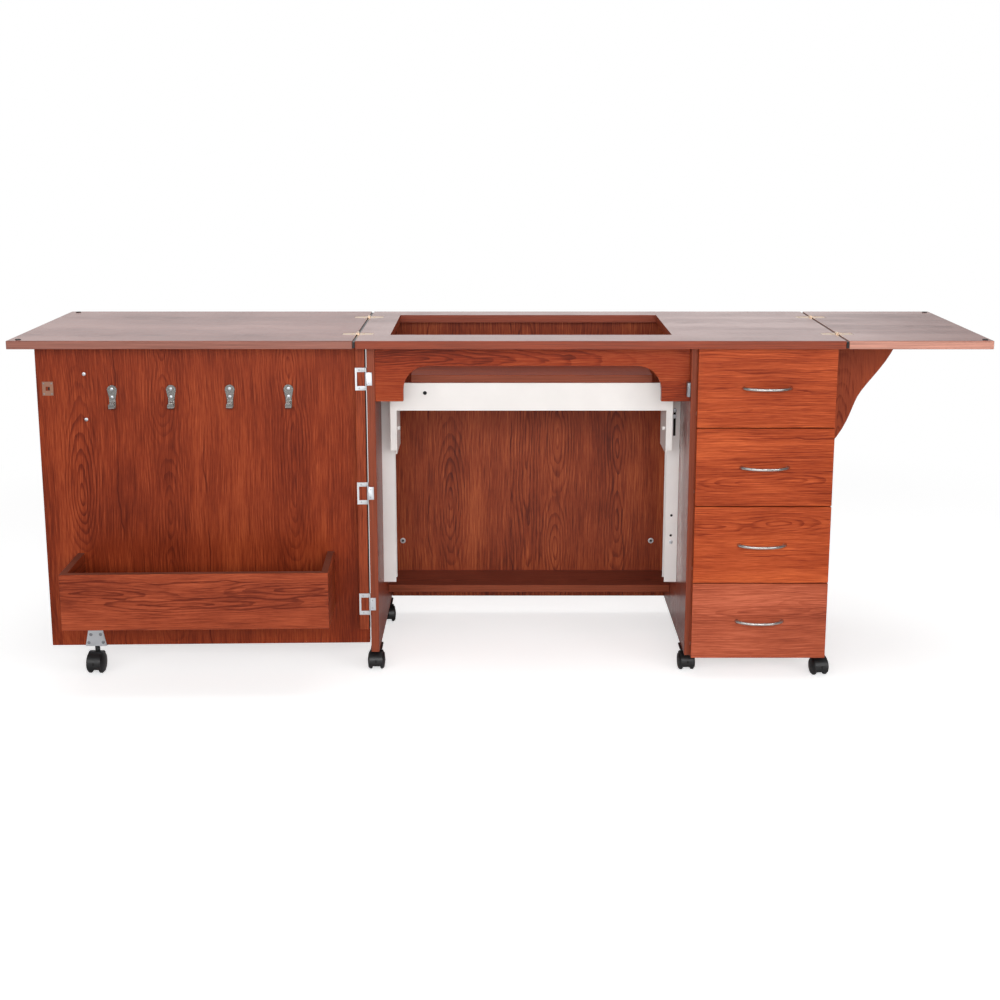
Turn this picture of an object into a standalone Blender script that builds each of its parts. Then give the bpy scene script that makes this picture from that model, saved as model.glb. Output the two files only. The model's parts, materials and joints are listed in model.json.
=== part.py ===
"""Sewing cabinet: folding leaves, machine lift, storage door with a bin, and a column of drawers.

Places are written in the cabinet's own measures: X runs right from the left edge of the main top,
Y runs back from the front edge of the top, and Z runs up from the floor. All sizes are in metres.
"""

import math

import bmesh
import bpy
from mathutils import Matrix, Vector

# Boards and overall size
BOARD = 0.018
TOP_HEIGHT = 0.768
TOP_DEPTH = 0.500
MAIN_WIDTH = 1.0495
LEFT_LEAF_WIDTH = 0.739
LEFT_OVERHANG = 0.0185
RIGHT_OVERHANG = 0.012
BACK_OVERHANG = 0.020
FRONT_SETBACK = 0.037
KNEEHOLE_WIDTH = 0.688
EDGE_ROUND = 0.0008

# Clearances
FIT = 0.0003
RUN = 0.0005
FRONT_GAP = 0.0005
LEAF_GAP = 0.006
LEAF_MEET_GAP = 0.0015
CUT_OVERRUN = 0.010
WELD = 0.00001

# Opening for the machine in the main top
OPENING_LEFT = 0.069
OPENING_FRONT = 0.0935
OPENING_WIDTH = 0.618
OPENING_DEPTH = 0.337

# Flush hinges between the main top and the leaves
FOLD_RISE = 0.0012
TOP_HINGE_INSET = 0.108
TOP_HINGE_LENGTH = 0.034
TOP_HINGE_NECK = 0.040
TOP_HINGE_TAIL = 0.026
TOP_HINGE_KNUCKLE = 0.016
TOP_HINGE_PLATE = 0.0016
TOP_HINGE_SINK = 0.0002

# Shelf, apron and the wing under the right leaf
SHELF_RISE = 0.050
SHELF_DEPTH = 0.123
APRON_HEIGHT = 0.124
APRON_BAND = 0.045
APRON_LEG = 0.061
APRON_SETBACK = 0.002
ARCH_RADIUS = 0.055
ARCH_STEPS = 8
WING_Y = 0.250
WING_GAP = 0.0008
WING_TOP_GAP = 0.002
WING_REACH = 0.188
WING_SHOULDER = (0.176, 0.060)
WING_HOLLOW = (0.118, 0.108)
WING_WAIST = (0.099, 0.1445)
WING_SWELL = (0.084, 0.173)
WING_BELLY = (0.078, 0.228)
WING_TIP = (0.020, 0.278)
WING_STEPS = 8

# Drawers
DRAWERS = 4
DRAWER_GAP = 0.0022
DRAWER_TOP_GAP = 0.0013
DRAWER_COVER = 0.005
TRAY_BACK_GAP = 0.0252
TRAY_HEIGHT = 0.125
TRAY_WALL = 0.012
TRAY_FLOOR = 0.008
TRAY_SIDE_GAP = 0.001
TRAY_CLEAR = 0.006
TONGUE = 0.005
GROOVE_END = 0.005

# Bow pulls
PULL_CENTRES = 0.101
PULL_REACH = 0.026
PULL_WIRE = 0.0028
PULL_FOOT = 0.005
PULL_POST = 0.003
PULL_NECK = 0.0036
PULL_FLATNESS = 2.6
PULL_STEPS = 14

# Door and what it carries; places along it are measured from the hinge line
DOOR_AJAR = math.radians(1.5)
DOOR_FOOT = 0.064
DOOR_TOP_GAP = 0.002
DOOR_DRAWER_GAP = 0.0012
DOOR_EDGE_GAP = 0.0023
HINGE_OFFSET = 0.0018
STRIP_WIDTH = 0.021
STRIP_RAISE = 0.038
BIN_NEAR = 0.0787
BIN_WIDTH = 0.572
BIN_DEPTH = 0.165
BIN_HEIGHT = 0.1247
BIN_RAISE = 0.0923
BIN_BOARD = 0.015
HOOKS = 4
HOOK_FIRST = 0.171
HOOK_PITCH = 0.1283
HOOK_DROP = 0.115
HOOK_HEIGHT = 0.054
HOOK_WIDTH = 0.022
HOOK_NECK = 0.014
HOOK_SHEET = 0.002
HOOK_CURL = 0.008
HOOK_LIP = 0.007
HOOK_TAPER = 0.019
HOOK_STEPS = 8
STRIKE_NEAR = 0.683
STRIKE_WIDTH = 0.024
STRIKE_HEIGHT = 0.031
STRIKE_SHEET = 0.001
STRIKE_HOLE = 0.009
STRIKE_DROP = 0.0955
DOOR_PULL_NEAR = 0.615
DOOR_PULL_DROP = 0.114
CATCH_WIDTH = 0.007
CATCH_DEPTH = 0.018
CATCH_INSET = 0.003
CATCH_HEIGHT = 0.031
CATCH_NOSE = 0.0015
CATCH_NOSE_HEIGHT = 0.012

# Ladder hinges of the door
DOOR_HINGES = 3
DOOR_HINGE_DROP = 0.074
DOOR_HINGE_RISE = 0.114
DOOR_HINGE_LENGTH = 0.050
DOOR_HINGE_SHEET = 0.0016
DOOR_HINGE_BARREL = 0.002
DOOR_HINGE_PIN = 0.001
DOOR_HINGE_BORE = 0.0014
FRAME_LEAF_WIDTH = 0.0135
FRAME_LEAF_LENGTH = 0.029
WINDOW_GAP = 0.001
DOOR_LEAF_BAR = 0.0042

# Machine lift
LIFT_FRONT = 0.135
LIFT_DROP = 0.0964
PLATFORM_WIDTH = 0.540
PLATFORM_DEPTH = 0.260
STEEL = 0.003
BAR_HEIGHT = 0.063
LEG_INSET = 0.0262
LEG_WIDTH = 0.0148
LEG_DROP = 0.092
SIDE_DROP = 0.100
ARM_WIDTH = 0.025
ARM_INSET = 0.010
ARM_DEPTH = 0.240
SLIDER_HEIGHT = 0.120
RAIL_FRONT = 0.210
RAIL_DEPTH = 0.040
RAIL_WIDTH = 0.029
RAIL_STEEL = 0.002
RAIL_RAISE = 0.049
RAIL_HEAD_GAP = 0.005

# Twin-wheel casters
CASTER_HEIGHT = 0.048
WHEEL_RADIUS = 0.0205
DOOR_WHEEL_RADIUS = 0.0245
WHEEL_SIDE = 0.0205
WHEEL_DOME = 0.0025
WHEEL_SHOULDER = 0.0035
WHEEL_STEPS = 24
AXLE_RADIUS = 0.003
AXLE_BORE = 0.0036
HOOD_GAP = 0.001
HOOD_SHELL = 0.0015
HOOD_WIDTH = 0.030
HOOD_FROM = math.radians(35)
HOOD_TO = math.radians(202)
HOOD_STEPS = 10
WEB_WIDTH = 0.0165
WEB_GAP = 0.0008
WEB_CHORD = math.radians(22)
STEM_RADIUS = 0.0055
TRAIL = 0.012
ROUND_SIDES = 24
FRONT_STEM_INSET = 0.037
RIGHT_STEM_INSET = 0.020
DIVIDER_STEM_INSET = 0.053
REAR_STEM_INSET = 0.061
DOOR_STEM_NEAR = 0.6212
BRACKET_TOP_WIDTH = 0.031
BRACKET_WIDTH = 0.048
BRACKET_HEIGHT = 0.042
BRACKET_SHEET = 0.0016
BRACKET_LEDGE = 0.0165

# Places that follow from the sizes above
UNDER_TOP = TOP_HEIGHT - BOARD
PANEL_HEAD = UNDER_TOP - FIT
RIGHT_LEAF_WIDTH = MAIN_WIDTH - LEFT_LEAF_WIDTH - LEAF_MEET_GAP
PANEL_BACK = TOP_DEPTH - BACK_OVERHANG
BACK_FACE = PANEL_BACK - BOARD
SHELF_TOP = CASTER_HEIGHT + SHELF_RISE + BOARD
KNEE_LEFT = LEFT_OVERHANG + BOARD
KNEE_RIGHT = KNEE_LEFT + KNEEHOLE_WIDTH
KNEE_MIDDLE = (KNEE_LEFT + KNEE_RIGHT) / 2
BAY_LEFT = KNEE_RIGHT + BOARD
RIGHT_FACE = MAIN_WIDTH - RIGHT_OVERHANG
BAY_RIGHT = RIGHT_FACE - BOARD
CLOSED_FACE = FRONT_SETBACK - FRONT_GAP
TRAY_FRONT = CLOSED_FACE + FIT
TRAY_DEPTH = BACK_FACE - TRAY_BACK_GAP - TRAY_FRONT
LEFT_FRONT = CLOSED_FACE + BOARD + DOOR_HINGE_SHEET + 3 * FIT
AXIS_X = LEFT_OVERHANG - HINGE_OFFSET
AXIS_Y = LEFT_FRONT - FIT - DOOR_HINGE_SHEET / 2
STRIP_FACE = LEFT_FRONT
DOOR_FACE = STRIP_FACE + BOARD + FIT
DOOR_HEAD = UNDER_TOP - DOOR_TOP_GAP
HOOK_Z = UNDER_TOP - HOOK_DROP
STRIKE_Z = UNDER_TOP - STRIKE_DROP
DOOR_PULL_Z = UNDER_TOP - DOOR_PULL_DROP
BIN_FOOT = DOOR_FOOT + BIN_RAISE
RAIL_FOOT = SHELF_TOP + RAIL_RAISE
DOOR_NEAR = DOOR_EDGE_GAP
DOOR_FAR = BAY_LEFT - DRAWER_COVER - DOOR_DRAWER_GAP - AXIS_X
BIN_FRONT = DOOR_FACE - FIT - BIN_DEPTH
FOLD_Z = TOP_HEIGHT + FOLD_RISE
TOP_HINGE_BARREL = math.hypot(LEAF_GAP / 2, FOLD_RISE + EDGE_ROUND) - FIT
PLATFORM_TOP = TOP_HEIGHT - LIFT_DROP
BAR_TOP = PLATFORM_TOP - BOARD - FIT
LEDGE_TOP = DOOR_FOOT - FIT

# The origin is under the middle of the open cabinet's box: the bin's far front corner is the
# foremost point, and the leaves' free ends are the outermost ones.
LEFT_END = -LEAF_GAP - LEFT_LEAF_WIDTH
RIGHT_END = MAIN_WIDTH + LEAF_GAP + RIGHT_LEAF_WIDTH
FOREMOST = (
    AXIS_Y
    - (BIN_NEAR + BIN_WIDTH) * math.sin(DOOR_AJAR)
    + (BIN_FRONT - AXIS_Y) * math.cos(DOOR_AJAR)
)
MIDDLE_X = (LEFT_END + RIGHT_END) / 2
MIDDLE_Y = (FOREMOST + TOP_DEPTH) / 2

# Turns that stand a flat outline up: facing Y with its own Y upright, or facing X
FACING_Y = Matrix.Rotation(math.pi / 2, 4, "X")
FACING_X = Matrix(((0, 0, 1, 0), (1, 0, 0, 0), (0, 1, 0, 0), (0, 0, 0, 1)))


def clear_scene():
    """Removes whatever the scene holds."""
    for obj in list(bpy.data.objects):
        bpy.data.objects.remove(obj)


def new_collection(name):
    """A collection of this name in the scene."""
    collection = bpy.data.collections.new(name)
    bpy.context.scene.collection.children.link(collection)
    return collection


def finish(name, colour, roughness, metallic=0.0):
    """A plain material of one colour."""
    material = bpy.data.materials.new(name)
    material.use_nodes = True
    shader = material.node_tree.nodes["Principled BSDF"]
    shader.inputs["Base Color"].default_value = (*colour, 1.0)
    shader.inputs["Roughness"].default_value = roughness
    shader.inputs["Metallic"].default_value = metallic
    return material


clear_scene()
CABINET = new_collection("sewing_cabinet")
CUTTERS = new_collection("sewing_cabinet_cutters")
TEAK = finish("teak_laminate", (0.34, 0.10, 0.045), 0.45)
TRAY_LINING = finish("drawer_lining", (0.72, 0.66, 0.58), 0.6)
WHITE_STEEL = finish("white_steel", (0.80, 0.77, 0.74), 0.4)
ZINC = finish("zinc_plate", (0.70, 0.71, 0.72), 0.35, 1.0)
NICKEL = finish("satin_nickel", (0.66, 0.64, 0.60), 0.3, 1.0)
BRASS = finish("pale_brass", (0.83, 0.75, 0.58), 0.35, 1.0)
BLACK_PLASTIC = finish("black_plastic", (0.018, 0.018, 0.02), 0.45)


def pivot(name, at, holder=None, turn=0.0):
    """An empty at a place in the cabinet, turned about the vertical; pieces hang from it."""
    empty = bpy.data.objects.new(name, None)
    CABINET.objects.link(empty)
    empty["at"] = tuple(at)
    empty.rotation_euler.z = turn
    if holder:
        empty.parent = holder
        empty.location = Vector(at) - Vector(holder["at"])
    return empty


def place(name, mesh, holder, at, material):
    """A named piece made of a mesh, hung from a holder at a place in the cabinet."""
    obj = bpy.data.objects.new(name, mesh)
    CABINET.objects.link(obj)
    obj.parent = holder
    obj.location = Vector(at) - Vector(holder["at"])
    if not mesh.materials:
        mesh.materials.append(material)
    return obj


def span_middle(*spans):
    """The middle point of three (low, high) spans."""
    return Vector([(low + high) / 2 for low, high in spans])


def box_mesh(x, y, z, about=(0.0, 0.0, 0.0)):
    """A box between three (low, high) spans, measured from a point."""
    middle = span_middle(x, y, z) - Vector(about)
    size = Matrix.Diagonal((x[1] - x[0], y[1] - y[0], z[1] - z[0], 1.0))
    work = bmesh.new()
    bmesh.ops.create_cube(work, size=1.0, matrix=Matrix.Translation(middle) @ size)
    return to_mesh(work)


def round_bar_mesh(radius, length, turn=None, at=(0.0, 0.0, 0.0), sides=ROUND_SIDES):
    """A round bar along Z, or turned, about a point."""
    work = bmesh.new()
    where = Matrix.Translation(Vector(at)) @ (turn or Matrix.Identity(4))
    bmesh.ops.create_cone(
        work, cap_ends=True, segments=sides, radius1=radius, radius2=radius, depth=length, matrix=where
    )
    return to_mesh(work)


def to_mesh(work):
    """Turns a bmesh into a mesh."""
    mesh = bpy.data.meshes.new("shape")
    work.to_mesh(mesh)
    work.free()
    return mesh


def board(name, x, y, z, holder, material):
    """A board between three (low, high) spans, with its sharp edges taken off."""
    middle = span_middle(x, y, z)
    obj = place(name, box_mesh(x, y, z, middle), holder, middle, material)
    bevel = obj.modifiers.new("eased_edges", "BEVEL")
    bevel.width = EDGE_ROUND
    bevel.segments = 1
    return obj


def cut_from(obj, name, mesh, holder, at=(0.0, 0.0, 0.0)):
    """Cuts a mesh out of a piece; the cutter stays in its own collection."""
    cutter = bpy.data.objects.new(name, mesh)
    CUTTERS.objects.link(cutter)
    cutter.parent = holder
    cutter.location = Vector(at) - Vector(holder["at"])
    cutter.hide_render = True
    cutter.display_type = "WIRE"
    add_boolean(obj, cutter, "DIFFERENCE")


def add_boolean(obj, other, operation):
    """Adds one exact Boolean to a piece."""
    boolean = obj.modifiers.new(operation.lower(), "BOOLEAN")
    boolean.operation = operation
    boolean.solver = "EXACT"
    boolean.object = other


def bake(obj):
    """The mesh of an object as its modifiers leave it; the object itself is removed."""
    bpy.context.view_layer.update()
    graph = bpy.context.evaluated_depsgraph_get()
    mesh = bpy.data.meshes.new_from_object(obj.evaluated_get(graph))
    bpy.data.objects.remove(obj)
    work = bmesh.new()
    work.from_mesh(mesh)
    bmesh.ops.remove_doubles(work, verts=work.verts, dist=WELD)
    bmesh.ops.recalc_face_normals(work, faces=work.faces)
    work.to_mesh(mesh)
    work.free()
    mesh.materials.clear()
    return mesh


def combine(mesh, *steps):
    """One mesh joined with, cut by or limited to others: steps are (operation, mesh) pairs."""
    base = bpy.data.objects.new("pattern", mesh)
    CUTTERS.objects.link(base)
    helpers = []
    for operation, other in steps:
        helper = bpy.data.objects.new("pattern_helper", other)
        CUTTERS.objects.link(helper)
        add_boolean(base, helper, operation)
        helpers.append(helper)
    result = bake(base)
    for helper in helpers:
        bpy.data.objects.remove(helper)
    return result


def join(mesh, *others):
    """One mesh with others joined to it."""
    return combine(mesh, *[("UNION", other) for other in others])


def outline_mesh(points, thickness, turn=None):
    """A flat outline with a thickness, centred on its plane, then turned to stand."""
    curve = bpy.data.curves.new("outline", "CURVE")
    curve.dimensions = "2D"
    curve.fill_mode = "BOTH"
    curve.extrude = thickness / 2
    spline = curve.splines.new("POLY")
    spline.points.add(len(points) - 1)
    for point, (across, up) in zip(spline.points, points):
        point.co = (across, up, 0.0, 1.0)
    spline.use_cyclic_u = True
    guide = bpy.data.objects.new("outline", curve)
    CUTTERS.objects.link(guide)
    mesh = bake(guide)
    if turn:
        mesh.transform(turn)
    return mesh


def arc(centre, radius, start, end, steps):
    """Points along a round stretch."""
    points = []
    for step in range(steps + 1):
        angle = start + (end - start) * step / steps
        points.append((centre[0] + radius * math.cos(angle), centre[1] + radius * math.sin(angle)))
    return points


def bend(start, first, second, end, steps):
    """Points along a cubic curve, without its first point."""
    points = []
    for step in range(1, steps + 1):
        t = step / steps
        weights = ((1 - t) ** 3, 3 * t * (1 - t) ** 2, 3 * t * t * (1 - t), t**3)
        corners = (start, first, second, end)
        points.append(tuple(sum(w * c[axis] for w, c in zip(weights, corners)) for axis in (0, 1)))
    return points


def smooth(obj, angle=math.radians(35)):
    """Shades the round stretches of a piece smooth."""
    obj.data.shade_smooth()
    obj.data.set_sharp_from_angle(angle=angle)
    return obj


def top_hinge_outline(grow):
    """Half of a flush hinge, from the fold line at X = 0 to its tail at X < 0."""
    neck = TOP_HINGE_NECK / 2 + grow
    tail = TOP_HINGE_TAIL / 2 + grow
    end = -TOP_HINGE_LENGTH - grow
    return [(0.0, -neck), (0.0, neck), (end, tail), (end, -tail)]


def top_hinge_places():
    """Distances of the flush hinges from the front edge of the top."""
    return {"front": TOP_HINGE_INSET, "rear": TOP_DEPTH - TOP_HINGE_INSET}


def sink_top_hinges(obj, holder, fold_x, side):
    """Cuts the shallow seats of the flush hinges into a board; side is where the board lies."""
    depth = TOP_HINGE_SINK + TOP_HINGE_PLATE + FIT
    for which, y in top_hinge_places().items():
        seat = outline_mesh(top_hinge_outline(FIT), 2 * depth, Matrix.Scale(-side, 4, (1, 0, 0)))
        seat.flip_normals() if side > 0 else None
        cut_from(obj, f"{obj.name}_{which}_seat", seat, holder, (fold_x, y, TOP_HEIGHT))


def build_top(cabinet, left_leaf, right_leaf):
    """Main top with the machine opening, both leaves, and the hinges between them."""
    thickness = (UNDER_TOP, TOP_HEIGHT)
    depth = (0.0, TOP_DEPTH)
    left_fold = -LEAF_GAP / 2
    right_fold = MAIN_WIDTH + LEAF_GAP / 2
    main = board("main_top", (0.0, MAIN_WIDTH), depth, thickness, cabinet, TEAK)
    opening = box_mesh(
        (OPENING_LEFT, OPENING_LEFT + OPENING_WIDTH),
        (OPENING_FRONT, OPENING_FRONT + OPENING_DEPTH),
        (UNDER_TOP - CUT_OVERRUN, TOP_HEIGHT + CUT_OVERRUN),
    )
    cut_from(main, "machine_opening", opening, cabinet)
    sink_top_hinges(main, cabinet, left_fold, 1)
    sink_top_hinges(main, cabinet, right_fold, -1)
    left = board("left_leaf", (LEFT_END, -LEAF_GAP), depth, thickness, left_leaf, TEAK)
    sink_top_hinges(left, left_leaf, left_fold, -1)
    right = board("right_leaf", (MAIN_WIDTH + LEAF_GAP, RIGHT_END), depth, thickness, right_leaf, TEAK)
    sink_top_hinges(right, right_leaf, right_fold, 1)
    for side, fold, towards in (("left", left_fold, -1), ("right", right_fold, 1)):
        for which, y in top_hinge_places().items():
            name = f"top_hinge_{side}_{which}"
            smooth(place(name, top_hinge_mesh(towards), cabinet, (fold, y, TOP_HEIGHT), BRASS))


def top_hinge_mesh(towards):
    """The half of a flush hinge that is let into the main top, with the barrel on the fold line."""
    plate = outline_mesh(top_hinge_outline(0.0), TOP_HINGE_PLATE)
    plate.transform(Matrix.Translation((0, 0, -TOP_HINGE_SINK - TOP_HINGE_PLATE / 2)))
    barrel = round_bar_mesh(TOP_HINGE_BARREL, TOP_HINGE_KNUCKLE, FACING_Y, (0.0, 0.0, FOLD_RISE))
    hinge = join(plate, barrel)
    if towards < 0:
        hinge.transform(Matrix.Rotation(math.pi, 4, "Z"))
    return hinge


def build_carcass(cabinet):
    """Panels that stand on the casters, the shelf, the bay's floor and the arched apron."""
    height = (CASTER_HEIGHT, PANEL_HEAD)
    back_edge = BACK_FACE - FIT
    board("left_side_panel", (LEFT_OVERHANG, KNEE_LEFT), (LEFT_FRONT, PANEL_BACK), height, cabinet, TEAK)
    divider = board("divider_panel", (KNEE_RIGHT, BAY_LEFT), (FRONT_SETBACK, back_edge), height, cabinet, TEAK)
    right = board("right_side_panel", (BAY_RIGHT, RIGHT_FACE), (FRONT_SETBACK, PANEL_BACK), height, cabinet, TEAK)
    for number in range(DRAWERS):
        cut_groove(divider, cabinet, number, BAY_LEFT)
        cut_groove(right, cabinet, number, BAY_RIGHT)
    back = (KNEE_LEFT + FIT, BAY_RIGHT - FIT)
    board("back_panel", back, (BACK_FACE, PANEL_BACK), height, cabinet, TEAK)
    knee = (KNEE_LEFT + FIT, KNEE_RIGHT - FIT)
    shelf = (back_edge - SHELF_DEPTH, back_edge)
    board("base_shelf", knee, shelf, (SHELF_TOP - BOARD, SHELF_TOP), cabinet, TEAK)
    bay = (BAY_LEFT + FIT, BAY_RIGHT - FIT)
    floor = (CASTER_HEIGHT, CASTER_HEIGHT + BOARD)
    board("drawer_bay_floor", bay, (FRONT_SETBACK, back_edge), floor, cabinet, TEAK)
    build_apron(cabinet)


def build_apron(cabinet):
    """The fascia under the front edge of the top, arched over the knees."""
    width = KNEEHOLE_WIDTH - 2 * FIT
    crown = APRON_HEIGHT - APRON_BAND
    near = APRON_LEG + ARCH_RADIUS
    far = width - near
    points = [(0.0, 0.0), (APRON_LEG, 0.0)]
    points += arc((near, crown - ARCH_RADIUS), ARCH_RADIUS, math.pi, math.pi / 2, ARCH_STEPS)
    points += arc((far, crown - ARCH_RADIUS), ARCH_RADIUS, math.pi / 2, 0.0, ARCH_STEPS)
    points += [(width - APRON_LEG, 0.0), (width, 0.0), (width, APRON_HEIGHT), (0.0, APRON_HEIGHT)]
    middle_y = LEFT_FRONT + APRON_SETBACK + BOARD / 2
    foot = (KNEE_LEFT + FIT, middle_y, PANEL_HEAD - APRON_HEIGHT)
    place("apron", outline_mesh(points, BOARD, FACING_Y), cabinet, foot, TEAK)


def drawer_foot(number):
    """Height of the lower edge of a drawer's front, counted from the bottom drawer."""
    return CASTER_HEIGHT + number * (drawer_front_height() + DRAWER_GAP)


def drawer_front_height():
    """Height of one drawer front."""
    stack = UNDER_TOP - DRAWER_TOP_GAP - CASTER_HEIGHT
    return (stack - (DRAWERS - 1) * DRAWER_GAP) / DRAWERS


def tray_foot(number):
    """Height of the underside of a drawer's tray, clear of the bay's floor."""
    return drawer_foot(number) + BOARD + TRAY_CLEAR


def cut_groove(panel, cabinet, number, face_x):
    """Cuts the groove that a tray's floor slides in."""
    deep = TONGUE + RUN
    foot = tray_foot(number)
    groove = box_mesh(
        (face_x - deep, face_x + deep),
        (FRONT_SETBACK - CUT_OVERRUN, TRAY_FRONT + TRAY_DEPTH + GROOVE_END),
        (foot - FIT, foot + TRAY_FLOOR + RUN),
    )
    cut_from(panel, f"{panel.name}_groove_{number + 1}", groove, cabinet)


def tray_mesh():
    """An open tray whose floor runs out into the grooves on both sides; its front is at Y = 0."""
    half_bay = (BAY_RIGHT - BAY_LEFT) / 2
    half = half_bay - TRAY_SIDE_GAP
    inner = half - TRAY_WALL
    walls = box_mesh((-half, half), (0.0, TRAY_DEPTH), (0.0, TRAY_HEIGHT))
    hollow = box_mesh(
        (-inner, inner),
        (TRAY_WALL, TRAY_DEPTH - TRAY_WALL),
        (TRAY_FLOOR, TRAY_HEIGHT + CUT_OVERRUN),
    )
    run = half_bay + TONGUE
    floor = box_mesh((-run, run), (0.0, TRAY_DEPTH), (0.0, TRAY_FLOOR))
    return combine(walls, ("DIFFERENCE", hollow), ("UNION", floor))


def pull_mesh():
    """A bow pull along X with flared feet on the plane Y = 0, bowing out towards -Y."""
    half = PULL_CENTRES / 2
    rise = PULL_REACH - PULL_WIRE - PULL_POST
    path = [(-half, 0.0, PULL_FOOT)]
    for step in range(PULL_STEPS + 1):
        share = 2 * step / PULL_STEPS - 1
        out = PULL_POST + rise * (1 - abs(share) ** PULL_FLATNESS)
        path.append((share * half, -out, PULL_WIRE + (PULL_NECK - PULL_WIRE) * abs(share) ** 3))
    path.append((half, 0.0, PULL_FOOT))
    curve = bpy.data.curves.new("pull", "CURVE")
    curve.dimensions = "3D"
    curve.bevel_depth = 1.0
    curve.bevel_resolution = 2
    curve.use_fill_caps = True
    spline = curve.splines.new("POLY")
    spline.points.add(len(path) - 1)
    for point, (across, out, radius) in zip(spline.points, path):
        point.co = (across, out, 0.0, 1.0)
        point.radius = radius
    guide = bpy.data.objects.new("pull", curve)
    CUTTERS.objects.link(guide)
    return bake(guide)


def build_drawers(cabinet, pull):
    """Drawers, numbered from the top, each with an overlaid front, a tray and a pull."""
    tray = tray_mesh()
    front_y = CLOSED_FACE - BOARD
    middle_x = (BAY_LEFT + BAY_RIGHT) / 2
    span = (BAY_LEFT - DRAWER_COVER, RIGHT_FACE)
    for number in range(DRAWERS):
        name = f"drawer_{DRAWERS - number}"
        foot = drawer_foot(number)
        head = foot + drawer_front_height()
        slide = pivot(f"{name}_slide", (middle_x, front_y, foot), cabinet)
        board(f"{name}_front", span, (front_y, CLOSED_FACE), (foot, head), slide, TEAK)
        place(f"{name}_tray", tray, slide, (middle_x, TRAY_FRONT, tray_foot(number)), TRAY_LINING)
        handle = (sum(span) / 2, front_y - FIT, (foot + head) / 2)
        smooth(place(f"{name}_pull", pull, slide, handle, NICKEL))


def build_door(door, pull):
    """Door that stands open, with its hinge strip, bin, hooks, strike plate, pull and bracket."""
    across = (AXIS_X - DOOR_FAR, AXIS_X - DOOR_NEAR)
    board("door_panel", across, (DOOR_FACE, DOOR_FACE + BOARD), (DOOR_FOOT, DOOR_HEAD), door, TEAK)
    strip = (AXIS_X - DOOR_NEAR - STRIP_WIDTH, AXIS_X - DOOR_NEAR)
    strip_height = (DOOR_FOOT + STRIP_RAISE, DOOR_HEAD)
    board("door_hinge_strip", strip, (STRIP_FACE, STRIP_FACE + BOARD), strip_height, door, TEAK)
    build_bin(door)
    hook = hook_mesh()
    for number in range(HOOKS):
        along = AXIS_X - HOOK_FIRST - number * HOOK_PITCH
        smooth(place(f"coat_hook_{number + 1}", hook, door, (along, DOOR_FACE - FIT, HOOK_Z), NICKEL))
    build_strike(door)
    turned_pull = pull.copy()
    turned_pull.transform(Matrix.Rotation(math.pi, 4, "Z") @ Matrix.Rotation(math.pi / 2, 4, "Y"))
    seat = (AXIS_X - DOOR_PULL_NEAR, DOOR_FACE + BOARD + FIT, DOOR_PULL_Z)
    smooth(place("door_pull", turned_pull, door, seat, NICKEL))
    build_bracket(door)


def build_bin(door):
    """Open bin on the door's inner face: a front, two ends and a floor, with the door as its back."""
    far = AXIS_X - BIN_NEAR - BIN_WIDTH
    near = AXIS_X - BIN_NEAR
    back = DOOR_FACE - FIT
    height = (BIN_FOOT, BIN_FOOT + BIN_HEIGHT)
    bin_box = board("door_bin", (far, near), (BIN_FRONT, back), height, door, TEAK)
    hollow = box_mesh(
        (far + BIN_BOARD, near - BIN_BOARD),
        (BIN_FRONT + BIN_BOARD, back + CUT_OVERRUN),
        (BIN_FOOT + BIN_BOARD, BIN_FOOT + BIN_HEIGHT + CUT_OVERRUN),
    )
    cut_from(bin_box, "door_bin_hollow", hollow, door)


def hook_mesh():
    """Pressed hook on the plane Y = 0: a drop-shaped plate whose tail curls out and up."""
    head = HOOK_HEIGHT / 2
    curl_z = -head + HOOK_CURL
    inside = HOOK_CURL - HOOK_SHEET
    middle = (-HOOK_CURL, curl_z)
    side = [(0.0, head)]
    side += arc(middle, HOOK_CURL, 0.0, -math.pi, HOOK_STEPS)
    side += [(-2 * HOOK_CURL, curl_z + HOOK_LIP), (-2 * HOOK_CURL + HOOK_SHEET, curl_z + HOOK_LIP)]
    side += arc(middle, inside, -math.pi, 0.0, HOOK_STEPS)
    side.append((-HOOK_SHEET, head))
    sheet = outline_mesh(side, 2 * HOOK_WIDTH, FACING_X)
    round_top = HOOK_WIDTH / 2
    neck = HOOK_NECK / 2
    below = -head - CUT_OVERRUN
    front = arc((0.0, head - round_top), round_top, 0.0, math.pi, HOOK_STEPS)
    front += [(-neck, head - round_top - HOOK_TAPER), (-neck, below)]
    front += [(neck, below), (neck, head - round_top - HOOK_TAPER)]
    limit = outline_mesh(front, 8 * HOOK_CURL, FACING_Y)
    return combine(sheet, ("INTERSECT", limit))


def build_strike(door):
    """Thin strike plate with a square hole, which meets the catch."""
    far = AXIS_X - STRIKE_NEAR - STRIKE_WIDTH
    middle_x = far + STRIKE_WIDTH / 2
    back = DOOR_FACE - FIT
    half_hole = STRIKE_HOLE / 2
    half = STRIKE_HEIGHT / 2
    plate = box_mesh((-STRIKE_WIDTH / 2, STRIKE_WIDTH / 2), (-STRIKE_SHEET, 0.0), (-half, half))
    hole = box_mesh((-half_hole, half_hole), (-CUT_OVERRUN, CUT_OVERRUN), (-half_hole, half_hole))
    plate = combine(plate, ("DIFFERENCE", hole))
    place("strike_plate", plate, door, (middle_x, back, STRIKE_Z), ZINC)


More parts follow.
